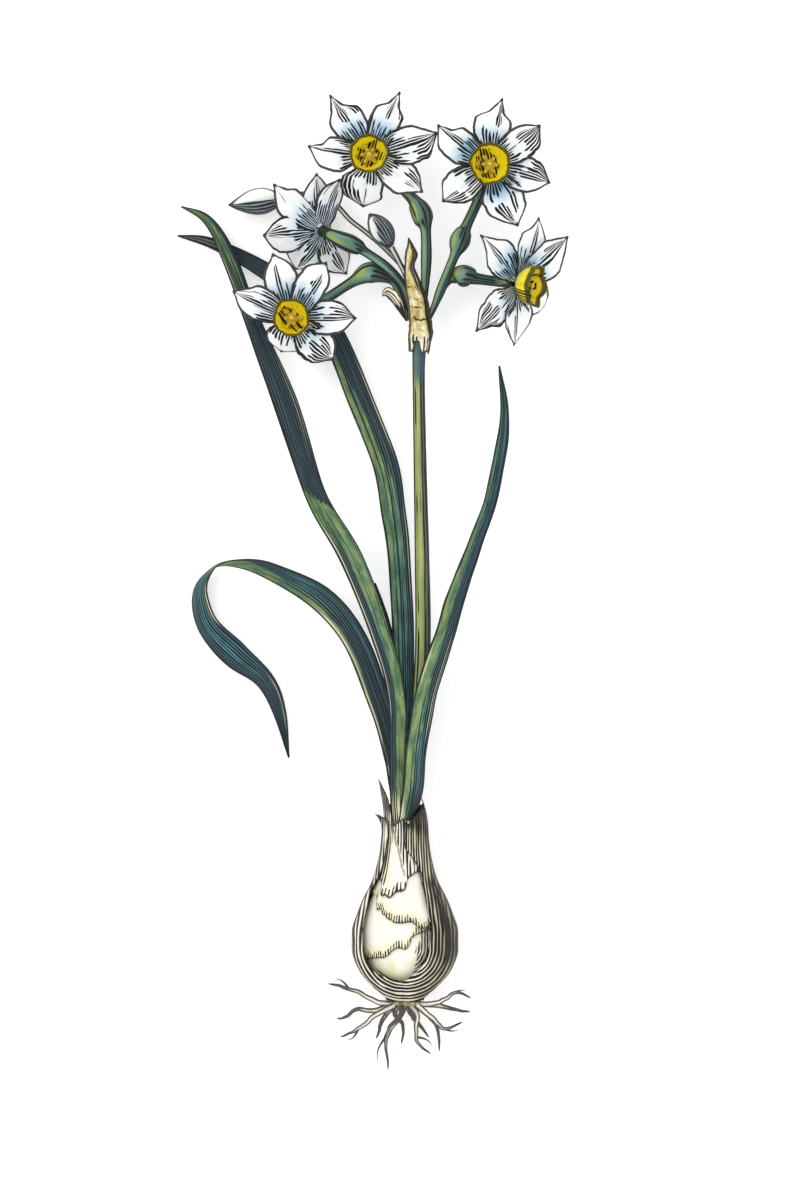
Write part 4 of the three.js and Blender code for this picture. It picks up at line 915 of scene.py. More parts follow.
def strap(stations, opens, count, rim, rows, shape):
    """The middle grid of a strap with uneven edges and the places across each row; shape adds a fine lift."""
    grid, spots = [], []
    for j in range(rows):
        t = j / (rows - 1)
        centre, half, channel, side, up = strap_frame(stations, t)
        spots.append(blade_spots(count, half, half, rim))
        uneven = [1 + 0.12 * rough(t * 15, place + stations[-1][0]) for place in (2.6, 7.3)]
        grid.append([
            centre + side * half * s * uneven[s > 0] + up * (opens * channel * s * s + shape(t, s, half))
            for s in spots[j]
        ])
    return grid, spots


leaf_skin, tree, grain, ways, tones = open_skin("waxy strap leaf")
ribs = streaks(tree, grain, 0.5, 60, 0.4, 0.62)
mottle = streaks(tree, grain, 2.2, 9, 0.36, 0.66, 6)
blotch = streaks(tree, grain, 1.6, 5, 0.5, 0.62, 9)
shade = add_node(tree, "ShaderNodeMath", {0: 1.0, 1: tones[0]}, operation="SUBTRACT")
lines = add_node(tree, "ShaderNodeMath", {0: shade, 1: 0.62, 2: 0.24}, operation="MULTIPLY_ADD")
close_skin(
    tree, "#445b60",
    [
        # Painted shade: dark navy and more hatch off the yellow-green band of painted light; the teal is a
        # painted highlight.
        (both(tree, both(tree, mottle, 0.6), shade), "#2b3c47"),
        (both(tree, tones[0], both(tree, mottle, 0.7, "ADD")), "#54764a"),
        (both(tree, both(tree, tones[0], mottle), 0.75), "#9aad68"),
        (both(tree, both(tree, tones[0], blotch), 0.55), "#3c6650"),
        (both(tree, tones[1], both(tree, mottle, 0.35, "ADD")), "#3f8288"),
        (both(tree, both(tree, tones[1], mottle), 0.5), "#74adb0"),
        (both(tree, tones[2], 0.95), "#eeebc0"),
        (marks(tree, ways, lines, 0.92, 0.56, 40, 0.3), "#182328"),
        (both(tree, tones[3], 0.95), "#182022"),
    ],
    ribs, 0.00012, (0.42, 0.58), Specular_IOR_Level=0.22,
)

# The ribs of a leaf are raised in its mesh as well: this tree lifts the skin over each of them.
rib_tree, given = growth_tree("parallel ribs", {"Rib Spacing": "Float", "Rib Height": "Float"})
rib_grain = add_node(
    rib_tree, "GeometryNodeInputNamedAttribute", {"Name": "grain"}, data_type="FLOAT_VECTOR")
rib_parts = add_node(rib_tree, "ShaderNodeSeparateXYZ", {0: rib_grain})
rib_count = add_node(
    rib_tree, "ShaderNodeMath", {0: rib_parts.outputs[0], 1: given["Rib Spacing"]}, operation="DIVIDE")
rib_turn = add_node(rib_tree, "ShaderNodeMath", {0: rib_count, 1: 2 * pi}, operation="MULTIPLY")
rib_crest = add_node(rib_tree, "ShaderNodeMath", {0: rib_turn}, operation="COSINE")
rib_rise = add_node(rib_tree, "ShaderNodeMath", {0: rib_crest, 1: given["Rib Height"]}, operation="MULTIPLY")
rib_normal = add_node(rib_tree, "GeometryNodeInputNormal", {})
rib_offset = add_node(
    rib_tree, "ShaderNodeVectorMath", {0: rib_normal, "Scale": rib_rise}, operation="SCALE")
rib_moved = add_node(
    rib_tree, "GeometryNodeSetPosition", {"Geometry": given["Geometry"], "Offset": rib_offset})
finish_growth(rib_tree, rib_moved, given["Material"])

RIB_SPACING = 0.92
RIB_HEIGHT = 0.00005
LEAF_COLUMNS = 41
for number, (name, leaf) in enumerate(LEAVES.items()):
    stations = leaf["stations"]
    rows = 34 * (len(stations) - 1) // 2 + 30

    def leaf_shape(t, s, half):
        edge_wave = 0.22 * s ** 3 * rough(t * 14, number * 4.1) * half / 5
        return edge_wave + 0.12 * rough(t * 9, s * 1.2, number)

    grid, spots = strap(stations, leaf["opens"], LEAF_COLUMNS - 4, 0.5, rows, leaf_shape)

    def leaf_thickness(j, i):
        return (0.3 + 0.65 * (1 - spots[j][i] ** 2) * (1 - 0.6 * j / rows)) * fade(rows - j, 0, 6) + 0.1

    points, faces, places = closed_sheet(grid, leaf_thickness)
    leaf_grain, leaf_tone = [], []
    curves = [[[row[0], row[k]] for row in leaf["light"]] for k in (1, 2, 3, 4)]
    light_here = [
        [min(max(table_value(curve, j / (rows - 1)), -1.3), 1.3) for curve in curves] for j in range(rows)
    ]
    run = [0.0]
    for j in range(1, rows):
        run.append(run[-1] + (grid[j][20] - grid[j - 1][20]).length)
    for j, i, side in places:
        t, s = j / (rows - 1), spots[j][i]
        rim = 1 if i < 2 or i > LEAF_COLUMNS - 3 else 0
        # Near the neck, the leaf bases right of it are darkened as painted shade.
        rim = max(rim, 0.7 * fade(grid[j][i].y, 86, 76) * fade(grid[j][i].x, 0.8, 2.6))
        strength, left, right, teal = light_here[j]
        wavy = 0.1 * rough(t * 25, number * 3.7)
        band = strength * fade(s, left - 0.1 + wavy, left + 0.1 + wavy)
        band *= fade(s, right + 0.1 + wavy, right - 0.1 + wavy)
        # A teal painted highlight down the middle of the blade, less where the painted light lies.
        teal_highlight = teal * exp(-(((s - 0.1) / 0.6) ** 2)) * (1 - 0.7 * band)
        pale = 0
        for first, last, place, force in leaf["pale_edges"]:
            lasting = fade(t, first, first + 0.04) * fade(t, last, last - 0.04)
            pale = max(pale, force * lasting * fade(abs(s - place), 0.16, 0.04))
        y = grid[j][i].y
        white = fade(y, 86 + 5 * rough(s * 3, number), 75) * fade(abs(grid[j][i].x + 2.8), 3.4, 1.4)
        leaf_grain.append((RIB_SPACING * (5 * s + 20 * number), 0, run[j] + 300 * number))
        leaf_tone.append((max(band, 0), max(teal_highlight, 0), max(white, pale), rim))
    source = new_piece(name + "_strap", points, faces, leaf_skin, leaf_grain, leaf_tone)
    blade = grown("strap_" + name, source, rib_tree, {
        "Rib Spacing": RIB_SPACING, "Rib Height": RIB_HEIGHT, "Material": leaf_skin,
    })
    hand_in(blade, "leaf_green", name)


# Scape: the leafless stem of the flowers, hollow and a little ridged, with a swollen head from
# which all the flower stalks spring. Light and shade are painted on the stalks: a yellow-green
# painted light on the side turned to the sun, more of it on the scape (tones[3]), a paler painted
# highlight on each ovary, and a dark painted shade with hatch lines on the other side.
SCAPE_STATIONS = [
    [0.4, 68.3, 21.9, 2.3], [1.8, 84, 22, 2.5], [3.2, 100, 22, 2.7], [6, 122, 22, 2.9],
    [7.2, 146, 21.8, 3], [6.8, 178, 21.5, 2.8], [6, 216, 21.3, 2.5], [5.5, 246, 21.1, 2.4],
    [5.6, 259, 21, 2.6], [6, 267, 21, 3.2],
]
HEAD_CENTRE = Vector((6, 269, 21))
green_stalk, tree, grain, ways, tones = open_skin("smooth green stalk", around=2.6)
lit = soft_step(tree, stored(tree, "pale"), 0.87, 0.96)
dim = soft_step(tree, stored(tree, "pale"), 0.87, 0.62)
ribs = streaks(tree, grain, 0.7, 40, 0.4, 0.62)
patches = streaks(tree, grain, 2.4, 12, 0.38, 0.62, 4)
lines = add_node(tree, "ShaderNodeMath", {0: dim, 1: 0.6, 2: 0.36}, operation="MULTIPLY_ADD")
close_skin(
    tree, "#5e7e64",
    [
        # Painted light and highlight on the sunny side, painted shade with hatch on the other.
        (both(tree, patches, 0.6), "#7ea690"), (both(tree, tones[3], 0.85), "#8f9858"),
        (both(tree, both(tree, tones[3], patches), 0.6), "#bcbc74"), (both(tree, lit, 0.85), "#8a9e50"),
        (both(tree, both(tree, tones[1], lit), 0.4), "#aebc72"), (both(tree, dim, 0.78), "#2b3b3d"),
        (both(tree, tones[2], 0.9), "#f1f0e4"), (marks(tree, ways, lines, 1.5, 0.7, 20, 0.2), "#161d20"),
        (both(tree, tones[0], 0.9), "#3a5560"), (both(tree, flank_line(tree, 0.62), 0.92), "#14191b"),
    ],
    ribs, 0.0001, (0.4, 0.55), Specular_IOR_Level=0.25,
)
HEAD_OUTLINE = [
    [267.8, 3.9], [268.6, 4.3], [269.6, 4.4], [270.8, 4.1], [272, 3.3], [272.9, 2], [273.4, 0.6],
]
SCAPE_STEPS = 180
scape_line = []
for k in range(SCAPE_STEPS + 1):
    x, y, z, radius = along(SCAPE_STATIONS, k / SCAPE_STEPS)
    scape_line.append([x, y, z, radius, 0.75 * fade(y, 243, 252), 0, 0, fade(y, 252, 242)])
for y, radius in HEAD_OUTLINE:
    scape_line.append([HEAD_CENTRE.x, y, HEAD_CENTRE.z, radius, 0.3, 0])
scape = tube("green_scape", [scape_line], green_stalk, 28, 2.0, 0.05, 2.8)
hand_in(scape, "stalk_green", "scape")


# Spathe: the papery hood that wrapped the buds. It is a dry membrane, ochre and wrinkled across,
# split down its back, with a brown right side, a curled strip at its left and a torn skirt. Its
# right side also carries painted shade, darker brown hatched with dark lines, and its left side and
# its skirt are painted paler, the left side as painted light.
SPATHE_STATIONS = [
    [5.5, 260, 24.6, 3.6, 95, 95], [6, 264.5, 26, 4.7, 92, 86], [6.3, 269, 26.5, 4.7, 88, 74],
    [5.9, 275, 27.1, 4.5, 80, 64], [4.9, 281, 27.7, 4.4, 73, 58], [3.3, 287, 28.1, 3.7, 68, 54],
    [2, 292.5, 28.3, 2.7, 62, 50], [2.5, 297.6, 28.3, 2.8, 62, 62], [2.2, 301.3, 28, 1.7, 55, 50],
    [1.4, 304.6, 27.6, 1.2, 10, 10],
]
FLAP_STATIONS = [
    [0.9, 271.5, 23.6, 1.2, -60, 0], [-1.4, 276.5, 24, 1.9, -35, 0.3], [-4.2, 281, 24.6, 2.2, -15, 0.5],
    [-7, 283, 24.2, 1.9, 10, 0.6], [-8.9, 281.8, 22.6, 0.5, 25, 0.2],
]
spathe_skin, tree, grain, ways, tones = open_skin("papery spathe membrane")
nerves = streaks(tree, grain, 0.6, 22, 0.42, 0.62)
brown = both(tree, tones[0], streaks(tree, grain, 0.9, 14, 0.2, 0.5, 3))
pale_patches = streaks(tree, grain, 3, 6, 0.42, 0.6, 2)
stains = streaks(tree, grain, 2.2, 3.6, 0.48, 0.62, 7)
close_skin(
    tree, "#d8c67e",
    [
        (both(tree, pale_patches, 0.8), "#f3ecc9"), (both(tree, nerves, 0.35), "#bba350"),
        (both(tree, stains, 0.8), "#9c8444"),
        (both(tree, tones[2], 0.7), "#fbf8ea"), (both(tree, brown, 0.65), "#6b5a38"),
        (marks(tree, ways, tones[0], 1.05, 0.75, 16, 0.2), "#1b1814"),
        (marks(tree, (ways[1], ways[0]), tones[1], 3.7, 0.6, 2.2, 0.6), "#3a3122"),
        (marks(tree, ways, tones[2], 0.9, 0.4, 8, 0.7), "#2f2a22"),
        (both(tree, tones[3], 0.92), "#2c2721"),
    ],
    nerves, 0.00009, (0.42, 0.62), Specular_IOR_Level=0.2, Subsurface_Weight=0.05, Subsurface_Scale=0.001,
)
SPATHE_COLUMNS, SPATHE_ROWS = 57, 130
grid = []
for j in range(SPATHE_ROWS):
    v = j / (SPATHE_ROWS - 1)
    row = []
    for i in range(SPATHE_COLUMNS):
        u = i / (SPATHE_COLUMNS - 1)
        x, y, z, curl, left, right = along(SPATHE_STATIONS, v)
        angle = radians(-left + (left + right) * u)
        skirt = fade(v, 0.1, 0)
        tooth = (1.6 * rough(u * 9, 2.5) - 1.2 + 5.5 * fade(abs(u - 0.43), 0.16, 0.04)) * skirt
        wrinkle = 0.2 * rough(u * 1.6, v * 17, 3) + 0.1 * rough(u * 3, v * 44, 8)
        wrinkle *= fade(v, 1, 0.9)
        reach = curl + wrinkle + 0.3 * skirt
        spot = Vector((x + reach * sin(angle), y + tooth, z - curl + reach * cos(angle)))
        spot.x += 0.45 * rough(v * 8, u * 1.5, 1) * fade(v, 0, 0.2) * fade(v, 1, 0.8)
        row.append(spot)
    grid.append(row)


def spathe_thickness(j, i):
    """The membrane thins out towards its two sides and both ends."""
    sides = fade(min(i, SPATHE_COLUMNS - 1 - i), 0, 6)
    return 0.16 + 0.3 * sides * fade(j, 0, 10) * fade(SPATHE_ROWS - 1 - j, 0, 10)


points, faces, places = closed_sheet(grid, spathe_thickness)
spathe_grain, spathe_tone = [], []
for j, i, side in places:
    u, v = i / (SPATHE_COLUMNS - 1), j / (SPATHE_ROWS - 1)
    spathe_grain.append((9 * u, 30 * (side > 0), 46 * v))
    curl, left, right = along(SPATHE_STATIONS, v)[3:]
    turn = sin(radians((left + right) * u - left))
    flank = curl * min(sin(radians(min(left, 90))) + turn, sin(radians(min(right, 90))) - turn)
    edge = max(fade(flank, 1.1, 0.75), 1 if j < 3 or j > SPATHE_ROWS - 5 else 0)
    # The right side's brown with its dark hatch is painted shade as well as colour; the pale paint on the
    # left side is painted light.
    right = fade(u, 0.64 - 0.16 * fade(v, 0.4, 0.66), 0.8 - 0.2 * fade(v, 0.4, 0.66)) * fade(v, 0.03, 0.12)
    wrinkled = 0.72 * fade(v, 0.12, 0.2) * fade(abs(u - 0.45 - 0.5 * rough(v * 8, 4)), 0.3, 0.16)
    painted_light_and_pale_skirt = 0.75 * fade(v, 0.2, 0.1) + 0.8 * fade(u, 0.24, 0.1)
    spathe_tone.append((min(right, 1), wrinkled * fade(v, 0.6, 0.5), painted_light_and_pale_skirt, edge))
hood = new_piece("papery_spathe", points, faces, spathe_skin, spathe_grain, spathe_tone)
hand_in(hood, "cream_tunic", "spathe")

grid, spots = strap(FLAP_STATIONS, 1, 17, 0.35, 40, lambda t, s, half: 0.15 * rough(t * 9, s * 2))
points, faces, places = closed_sheet(grid, lambda j, i: 0.2 + 0.2 * (1 - spots[j][i] ** 2))
flap_grain = [(2 * spots[j][i], 30 * (side > 0) + 50, 14 * j / 40) for j, i, side in places]
# The strip takes the same paints: brown and hatched painted shade near its foot, pale paint all over.
flap_tone = [(0.9 * fade(j, 18, 8), 0.2, 0.7, 1 if i < 2 or i > 18 or j > 37 else 0) for j, i, side in places]
flap = new_piece("spathe_strip", points, faces, spathe_skin, flap_grain, flap_tone)
hand_in(flap, "cream_tunic")


# Flower stalks: each pedicel is a thin green stem that swells into the ovary, a three-ribbed
# seed case, and narrows to the tube that carries the petals. A petal's shade, strokes and tip
# strokes say how much painted shade it takes: a blue wash, and dark hatch from the throat and at
# the tip. Folds are bands of the same painted hatch that draw a fold on a petal: [petal,
# place across from -1 to 1 where it starts and ends, how far along the petal it starts and
# ends, half width].
FLOWERS = {
    "flower_1": {
        "throat": [-14, 337.2, 30],
        "faces": [0.05, -0.05, 1],
        "cup_faces": [-0.04, 0.02, 1],
        "tips": [
            [-16, 24, 3], [12, 25.6, -2], [27.2, 9, 2], [21.2, -14.4, -5], [-2.8, -20, -12],
            [-24.8, 3.6, 2],
        ],
        "sides": [
            [1.02, 0.7, 1.05, 0.45], [1, 0.5, 0.85, 0.5], [1, 0.8, 1.25, 1.5],
            [1, 1, 1.02, 0.8], [1, 1.3, 1.5, 1.6], [1.25, 1.3, 0.8, 0.35],
        ],
        "shade": [1, 0.9, 0.35, 0.1, 0.25, 0.3],
        "strokes": [0.8, 0.7, 1, 0.4, 0.6, 0.6],
        "tip_strokes": [0.3, 0.2, 1, 0.6, 0.7, 0.2],
        "folds": [
            [0, 0, 0, 0.48, 1, 0.16], [0, 0.85, 0.8, 0.5, 0.72, 0.14], [1, 0, 0, 0.47, 1, 0.1],
            [1, 0.85, 0.9, 0.55, 0.74, 0.14], [2, 0.1, -0.1, 0.3, 1, 0.12], [5, 0, 0, 0.3, 1, 0.1],
            [4, 0.8, 0.6, 0.2, 0.9, 0.12],
        ],
        "leaves": [0.22, 0.93, 0.3],
        "stalk": [
            [7.8, 284, 23.8, 1.6], [8.4, 296, 24, 2.2], [8.3, 305.5, 23.3, 2.1], [8, 309, 22.9, 2.5],
            [7.3, 311.6, 22.5, 3.9], [6.4, 314.6, 22, 4.3], [4.8, 317.6, 21.5, 3.7],
            [2.6, 320.8, 20.8, 2.4], [-5, 328.3, 20, 2.1], [-11.6, 334.9, 22, 2.1],
        ],
    },
    "flower_2": {
        "throat": [33.6, 333.2, 30],
        "faces": [0, 0, 1],
        "cup_faces": [0.02, 0.03, 1],
        "tips": [
            [5.2, 26.8, 1], [20.4, 16, 3], [24.4, -6.8, -2], [11.6, -24, -5], [-18.8, -14.4, -1],
            [-20.8, 16, 4.5],
        ],
        "sides": [
            [1.38, 0.8, 0.85, 0.4], [0.85, 0.9, 1.1, 1.3], [1.1, 1.2, 1, 1],
            [1.1, 1.2, 1.35, 1.1], [1, 0.9, 1.1, 1.3], [1.2, 1.3, 0.85, 0.4],
        ],
        "shade": [0.7, 0.3, 0.5, 0.9, 0.3, 1],
        "strokes": [0.9, 0.6, 0.8, 0.8, 0.7, 0.8],
        "tip_strokes": [0.1, 1, 0.9, 0.6, 0.6, 0.2],
        "folds": [
            [0, 0.1, 0.05, 0.5, 1, 0.12], [0, 0.5, 0.3, 0.7, 0.92, 0.12], [1, -0.3, -0.1, 0.5, 1, 0.16],
            [1, 0.1, 0.2, 0.55, 1, 0.14], [2, 0, 0, 0.4, 1, 0.1], [3, 0.3, 0.2, 0.5, 0.92, 0.12],
            [3, -0.5, -0.3, 0.4, 0.8, 0.1], [4, -0.2, -0.1, 0.6, 1, 0.12], [5, 0.1, 0, 0.4, 1, 0.1],
        ],
        "leaves": [0.72, 0.62, 0.3],
        "stalk": [
            [11.7, 277.5, 23.3, 1.4], [14.5, 284.6, 23.3, 2], [18.4, 294.4, 22.6, 1.9],
            [20, 298.4, 22.3, 2.2], [20.8, 300.8, 22.1, 3.4], [21.8, 303.8, 21.8, 4.2],
            [23.2, 307, 21.4, 3.5], [24.6, 310, 21, 2.2], [30, 322, 20, 2.1], [32.8, 330.6, 21.8, 2.1],
        ],
    },
    "flower_3": {
        "throat": [-33.2, 308, 13.5],
        "faces": [-0.45, 0.25, -0.86],
        "tips": [
            [-19.3, 18, 15], [-2.2, 22.8, 7.8], [7.4, 20.4, 9], [9.8, -16.8, -12.6], [-11, -15.2, -8],
            [-23.6, -2.4, 11.6],
        ],
        "sides": [
            [0.8, 0.5, 1, 0.8], [0.9, 0.8, 1, 0.9], [0.8, 0.8, 0.8, 0.8],
            [1, 1, 1, 1], [1.15, 1.3, 1.1, 1.2], [1, 1, 1.25, 1.1],
        ],
        "shade": [0.6, 0.5, 0.4, 0.2, 0.4, 0.4],
        "strokes": [0.6, 0.55, 0.5, 0.35, 0.35, 0.3],
        "tip_strokes": [0.2, 0.3, 0.3, 0.6, 0.5, 0.6],
        "folds": [
            [1, 0, 0, 0.2, 0.9, 0.12], [2, -0.2, -0.1, 0.2, 1, 0.14], [5, 0, 0, 0.3, 0.9, 0.1],
            [4, 0.2, 0.1, 0.3, 0.9, 0.12], [3, 0, 0, 0.4, 0.9, 0.12],
        ],
        "leaves": [-0.52, 0.85, -0.06],
        "stalk": [
            [1.4, 279, 20.7, 1.2], [-1.2, 286.6, 20.9, 1.5], [-7.6, 293.3, 22, 1.9],
            [-16, 299.2, 21.8, 1.9], [-18.2, 300.6, 21.7, 3], [-22, 302.4, 21.2, 3.7],
            [-26, 304.2, 20.5, 3.3], [-29.2, 305.8, 19.4, 2.6],
        ],
    },
    "flower_4": {
        "throat": [-45.2, 272, 28],
        "faces": [0, 0.04, 1],
        "tips": [
            [-7.6, 26.4, 0], [14, 22.8, 2], [25.9, 0.4, 0], [16.8, -16.2, -4], [-4.4, -12.8, -10],
            [-23.6, 11.2, 1],
        ],
        "sides": [
            [1, 0.9, 1.05, 1.1], [1, 1.2, 0.9, 1], [1.1, 1.15, 1, 1],
            [1, 1.1, 1.2, 1.3], [1, 1.3, 1.15, 1.2], [1, 1, 1, 0.8],
        ],
        "shade": [0.8, 0.9, 0.6, 0.5, 0.1, 0.5],
        "strokes": [0.7, 0.6, 0.6, 0.5, 0.8, 0.8],
        "tip_strokes": [0.1, 0.1, 0.8, 0.9, 0.1, 0.2],
        "folds": [
            [1, 0.35, 0.2, 0.4, 0.78, 0.1], [1, 0, 0, 0.5, 0.64, 0.12], [5, -0.1, 0, 0.2, 1, 0.12],
            [2, 0, 0, 0.4, 1, 0.1], [3, 0.2, 0.1, 0.4, 1, 0.14], [3, -0.4, -0.2, 0.5, 0.9, 0.12],
            [0, -0.2, -0.1, 0.4, 0.8, 0.1],
        ],
        "leaves": [-0.62, 0.58, -0.53],
        "stalk": [
            [0.2, 276.5, 16.8, 1.2], [-2.4, 283, 15.6, 1.5], [-5.6, 288, 15.5, 1.7],
            [-13.6, 291, 16.4, 4.4], [-21, 287.4, 16.3, 2.3], [-30, 281.6, 15.8, 2.1],
            [-38.4, 276.2, 16.4, 2.1], [-43.6, 272.9, 19.4, 2.1],
        ],
    },
    "flower_5": {
        "throat": [44.4, 286.4, 21],
        "faces": [0.75, -0.16, 0.64],
        "cup_faces": [0.88, -0.12, 0.42],
        "tips": [
            [-14.6, 19.2, 10], [9.2, 27, -3], [21.2, 19.6, -8], [11.5, -8.5, -20], [-0.8, -24.7, -6],
            [-16.4, -19.4, 9],
        ],
        "sides": [
            [1.35, 0.9, 1.15, 0.8], [1.35, 0.8, 1.15, 1], [0.9, 0.8, 1.5, 1.1],
            [1, 1, 1, 1], [1.3, 1, 1.3, 1.1], [0.85, 0.5, 1.4, 1.5],
        ],
        "shade": [0.9, 0.7, 1, 0.2, 0.3, 0.4],
        "strokes": [0.7, 0.7, 0.8, 0.4, 0.5, 0.7],
        "tip_strokes": [0.1, 0.1, 0.2, 0.4, 0.6, 0.8],
        "folds": [
            [0, -0.1, 0, 0.35, 1, 0.12], [1, 0.15, 0, 0.4, 1, 0.1], [2, 0.2, 0.1, 0.3, 1, 0.14],
            [2, -0.4, -0.2, 0.5, 0.9, 0.1], [5, 0.1, 0.05, 0.4, 1, 0.14], [5, 0.6, 0.4, 0.5, 0.9, 0.12],
            [4, 0.1, 0.05, 0.4, 1, 0.12],
        ],
        "leaves": [0.62, 0.62, -0.48],
        "stalk": [
            [11.4, 277.5, 17.3, 1.2], [13.6, 283, 17, 1.5], [17.2, 288, 17.6, 1.8], [19.4, 289.2, 18, 2.5],
            [21.2, 289.8, 18.3, 4], [23.8, 290, 18.4, 4.5], [26.4, 289.6, 18.1, 3.8],
            [28.8, 288.8, 17.7, 2.4], [37, 287.7, 16.4, 2.1],
        ],
    },
}
HUB_BACK = -0.5
GAP = 0.3


def stalk_line(stations, direction, steps, pale=0.0):
    """A stalk's line from the head, out along its direction and then through its stations."""
    start = HEAD_CENTRE + Vector(direction).normalized() * 4.3
    line = []
    for k in range(steps + 1):
        x, y, z, radius = along([[*start, 1.05]] + stations, k / steps)
        # The swollen ovary is marked for a paler painted highlight on its sunny side.
        line.append([x, y, z, max(radius, 0.25), 0, fade(radius, 2.4, 3.6), pale])
    return line


for number, (name, flower) in enumerate(FLOWERS.items(), start=1):
    facing = Vector(flower["faces"]).normalized()
    end = Vector(flower["throat"]) + facing * (HUB_BACK - GAP)
    near = end - facing * 3.4
    stations = flower["stalk"] + [[*near, 2.1], [*end, 2.3], [*(end + facing * 0.25), 2.4]]
    line = stalk_line(stations, flower["leaves"], 110)
    pedicel = tube(f"pedicel_{number}", [line], green_stalk, 24, 3.0, 0.05, 2.4)
    hand_in(pedicel, "stalk_green", f"{name}_stalk")


# Petals: six white petals to a flower, grown together at the throat, three of them behind the
# other three. They are thin and soft, creased down the middle, veined, and end in a small point.
# Their painted shade is a blue wash and dark hatch strokes near the throat, at some tips and in
# bands that draw a fold.
PETAL_WIDTHS = [
    [0, 2.3], [0.2, 5], [0.4, 6.7], [0.58, 6.9], [0.7, 6.1], [0.8, 4.6], [0.87, 2.9], [0.93, 1.45],
    [1, 0.26],
]
PETAL_ROOT = 1.6
PETAL_COLUMNS, PETAL_ROWS = 29, 54
petal_tissue, tree, grain, ways, tones = open_skin("white petal tissue")
cells = streaks(tree, grain, 0.32, 7, 0.38, 0.66)
veins = streaks(tree, grain, 0.62, 18, 0.5, 0.66, 3)
blue_shade_wash = both(tree, tones[0], streaks(tree, grain, 2.6, 6, 0.2, 0.55, 6))
close_skin(
    tree, "#fbfbf9",
    [
        (both(tree, veins, 0.12), "#d3d9da"), (both(tree, tones[2], 0.2), "#b9bfbf"),
        # A blue wash and dark hatch of painted shade.
        (both(tree, blue_shade_wash, 0.95), "#a2cbe6"), (both(tree, both(tree, tones[0], blue_shade_wash), 0.7), "#5a93bd"),
        (marks(tree, ways, tones[1], 1.1, 0.72, 8, 0.4), "#0e1216"), (both(tree, tones[3], 0.96), "#1d1b1a"),
    ],
    cells, 0.00005, (0.45, 0.6), Specular_IOR_Level=0.2, Subsurface_Weight=0.14, Subsurface_Scale=0.001,
    Subsurface_Radius=(1.0, 0.9, 0.85),
)


def petal_run(j):
    """How far along a petal its row j lies, with the rows closer towards the tip."""
    return 1 - (1 - j / (PETAL_ROWS - 1)) ** 1.3


def petal_half(v, s, number, sides):
    """A petal's width to its left or right; sides are [left middle, left shoulder, right ones]."""
    middle, shoulder = sides[:2] if s < 0 else sides[2:]
    wide = 1 + (middle - 1) * fade(v, 0.15, 0.4) * fade(v, 0.8, 0.6)
    wide += (shoulder - 1) * fade(v, 0.62, 0.78) * fade(v, 1, 0.93)
    ragged = 0.05 * rough(v * 6, number * 2.7 + (s > 0)) + 0.035 * rough(v * 17, number * 1.9 + (s > 0))
    return max(table_value(PETAL_WIDTHS, v) * wide * (1 + ragged), 0.1)


def petal_grid(tip, level, turn, number, sides):
    """A petal's middle grid in its flower's frame, which faces +Z, and the places across each row."""
    up_way = Vector((0, 0, 1))
    out = Vector((tip.x, tip.y, 0)).normalized()
    reach = hypot(tip.x, tip.y)
    bends = [
        out * PETAL_ROOT + up_way * level, out * reach * 0.36 + up_way * (level + 1.2),
        out * reach * 0.72 + up_way * (level + 1.8 + tip.z * 0.45), tip,
    ]
    grid, spots = [], []
    for j in range(PETAL_ROWS):
        v = petal_run(j)
        w = 1 - v
        centre = bends[0] * w ** 3 + bends[1] * 3 * w * w * v + bends[2] * 3 * w * v * v + bends[3] * v ** 3
        ahead = (bends[1] - bends[0]) * w * w + (bends[2] - bends[1]) * 2 * w * v
        ahead = (ahead + (bends[3] - bends[2]) * v * v).normalized()
        side = ahead.cross(up_way).normalized()
        up = side.cross(ahead)
        halves = petal_half(v, -1, number, sides), petal_half(v, 1, number, sides)
        spots.append(blade_spots(PETAL_COLUMNS - 4, *halves, 0.95))
        row = []
        for s in spots[j]:
            half = halves[s > 0]
            lift = 0.9 * s * s * sin(pi * v) + turn * s * v * v * half * 0.3
            lift -= 0.32 * exp(-((s / 0.13) ** 2)) * sin(pi * v)
            lift += 0.55 * abs(s) ** 3 * sin(pi * v) * rough(v * 6, s * 1.5, number * 3.3)
            lift += 0.1 * rough(v * 11, s * 3, number)
            row.append(centre + side * half * s + up * lift)
        grid.append(row)
    return grid, spots


def in_place(points, flower):
    """Points of a flower's own frame, set at its throat and turned the way it faces."""
    turned = Vector((0, 0, 1)).rotation_difference(Vector(flower["faces"]).normalized())
    return [turned @ Vector(point) + Vector(flower["throat"]) for point in points]


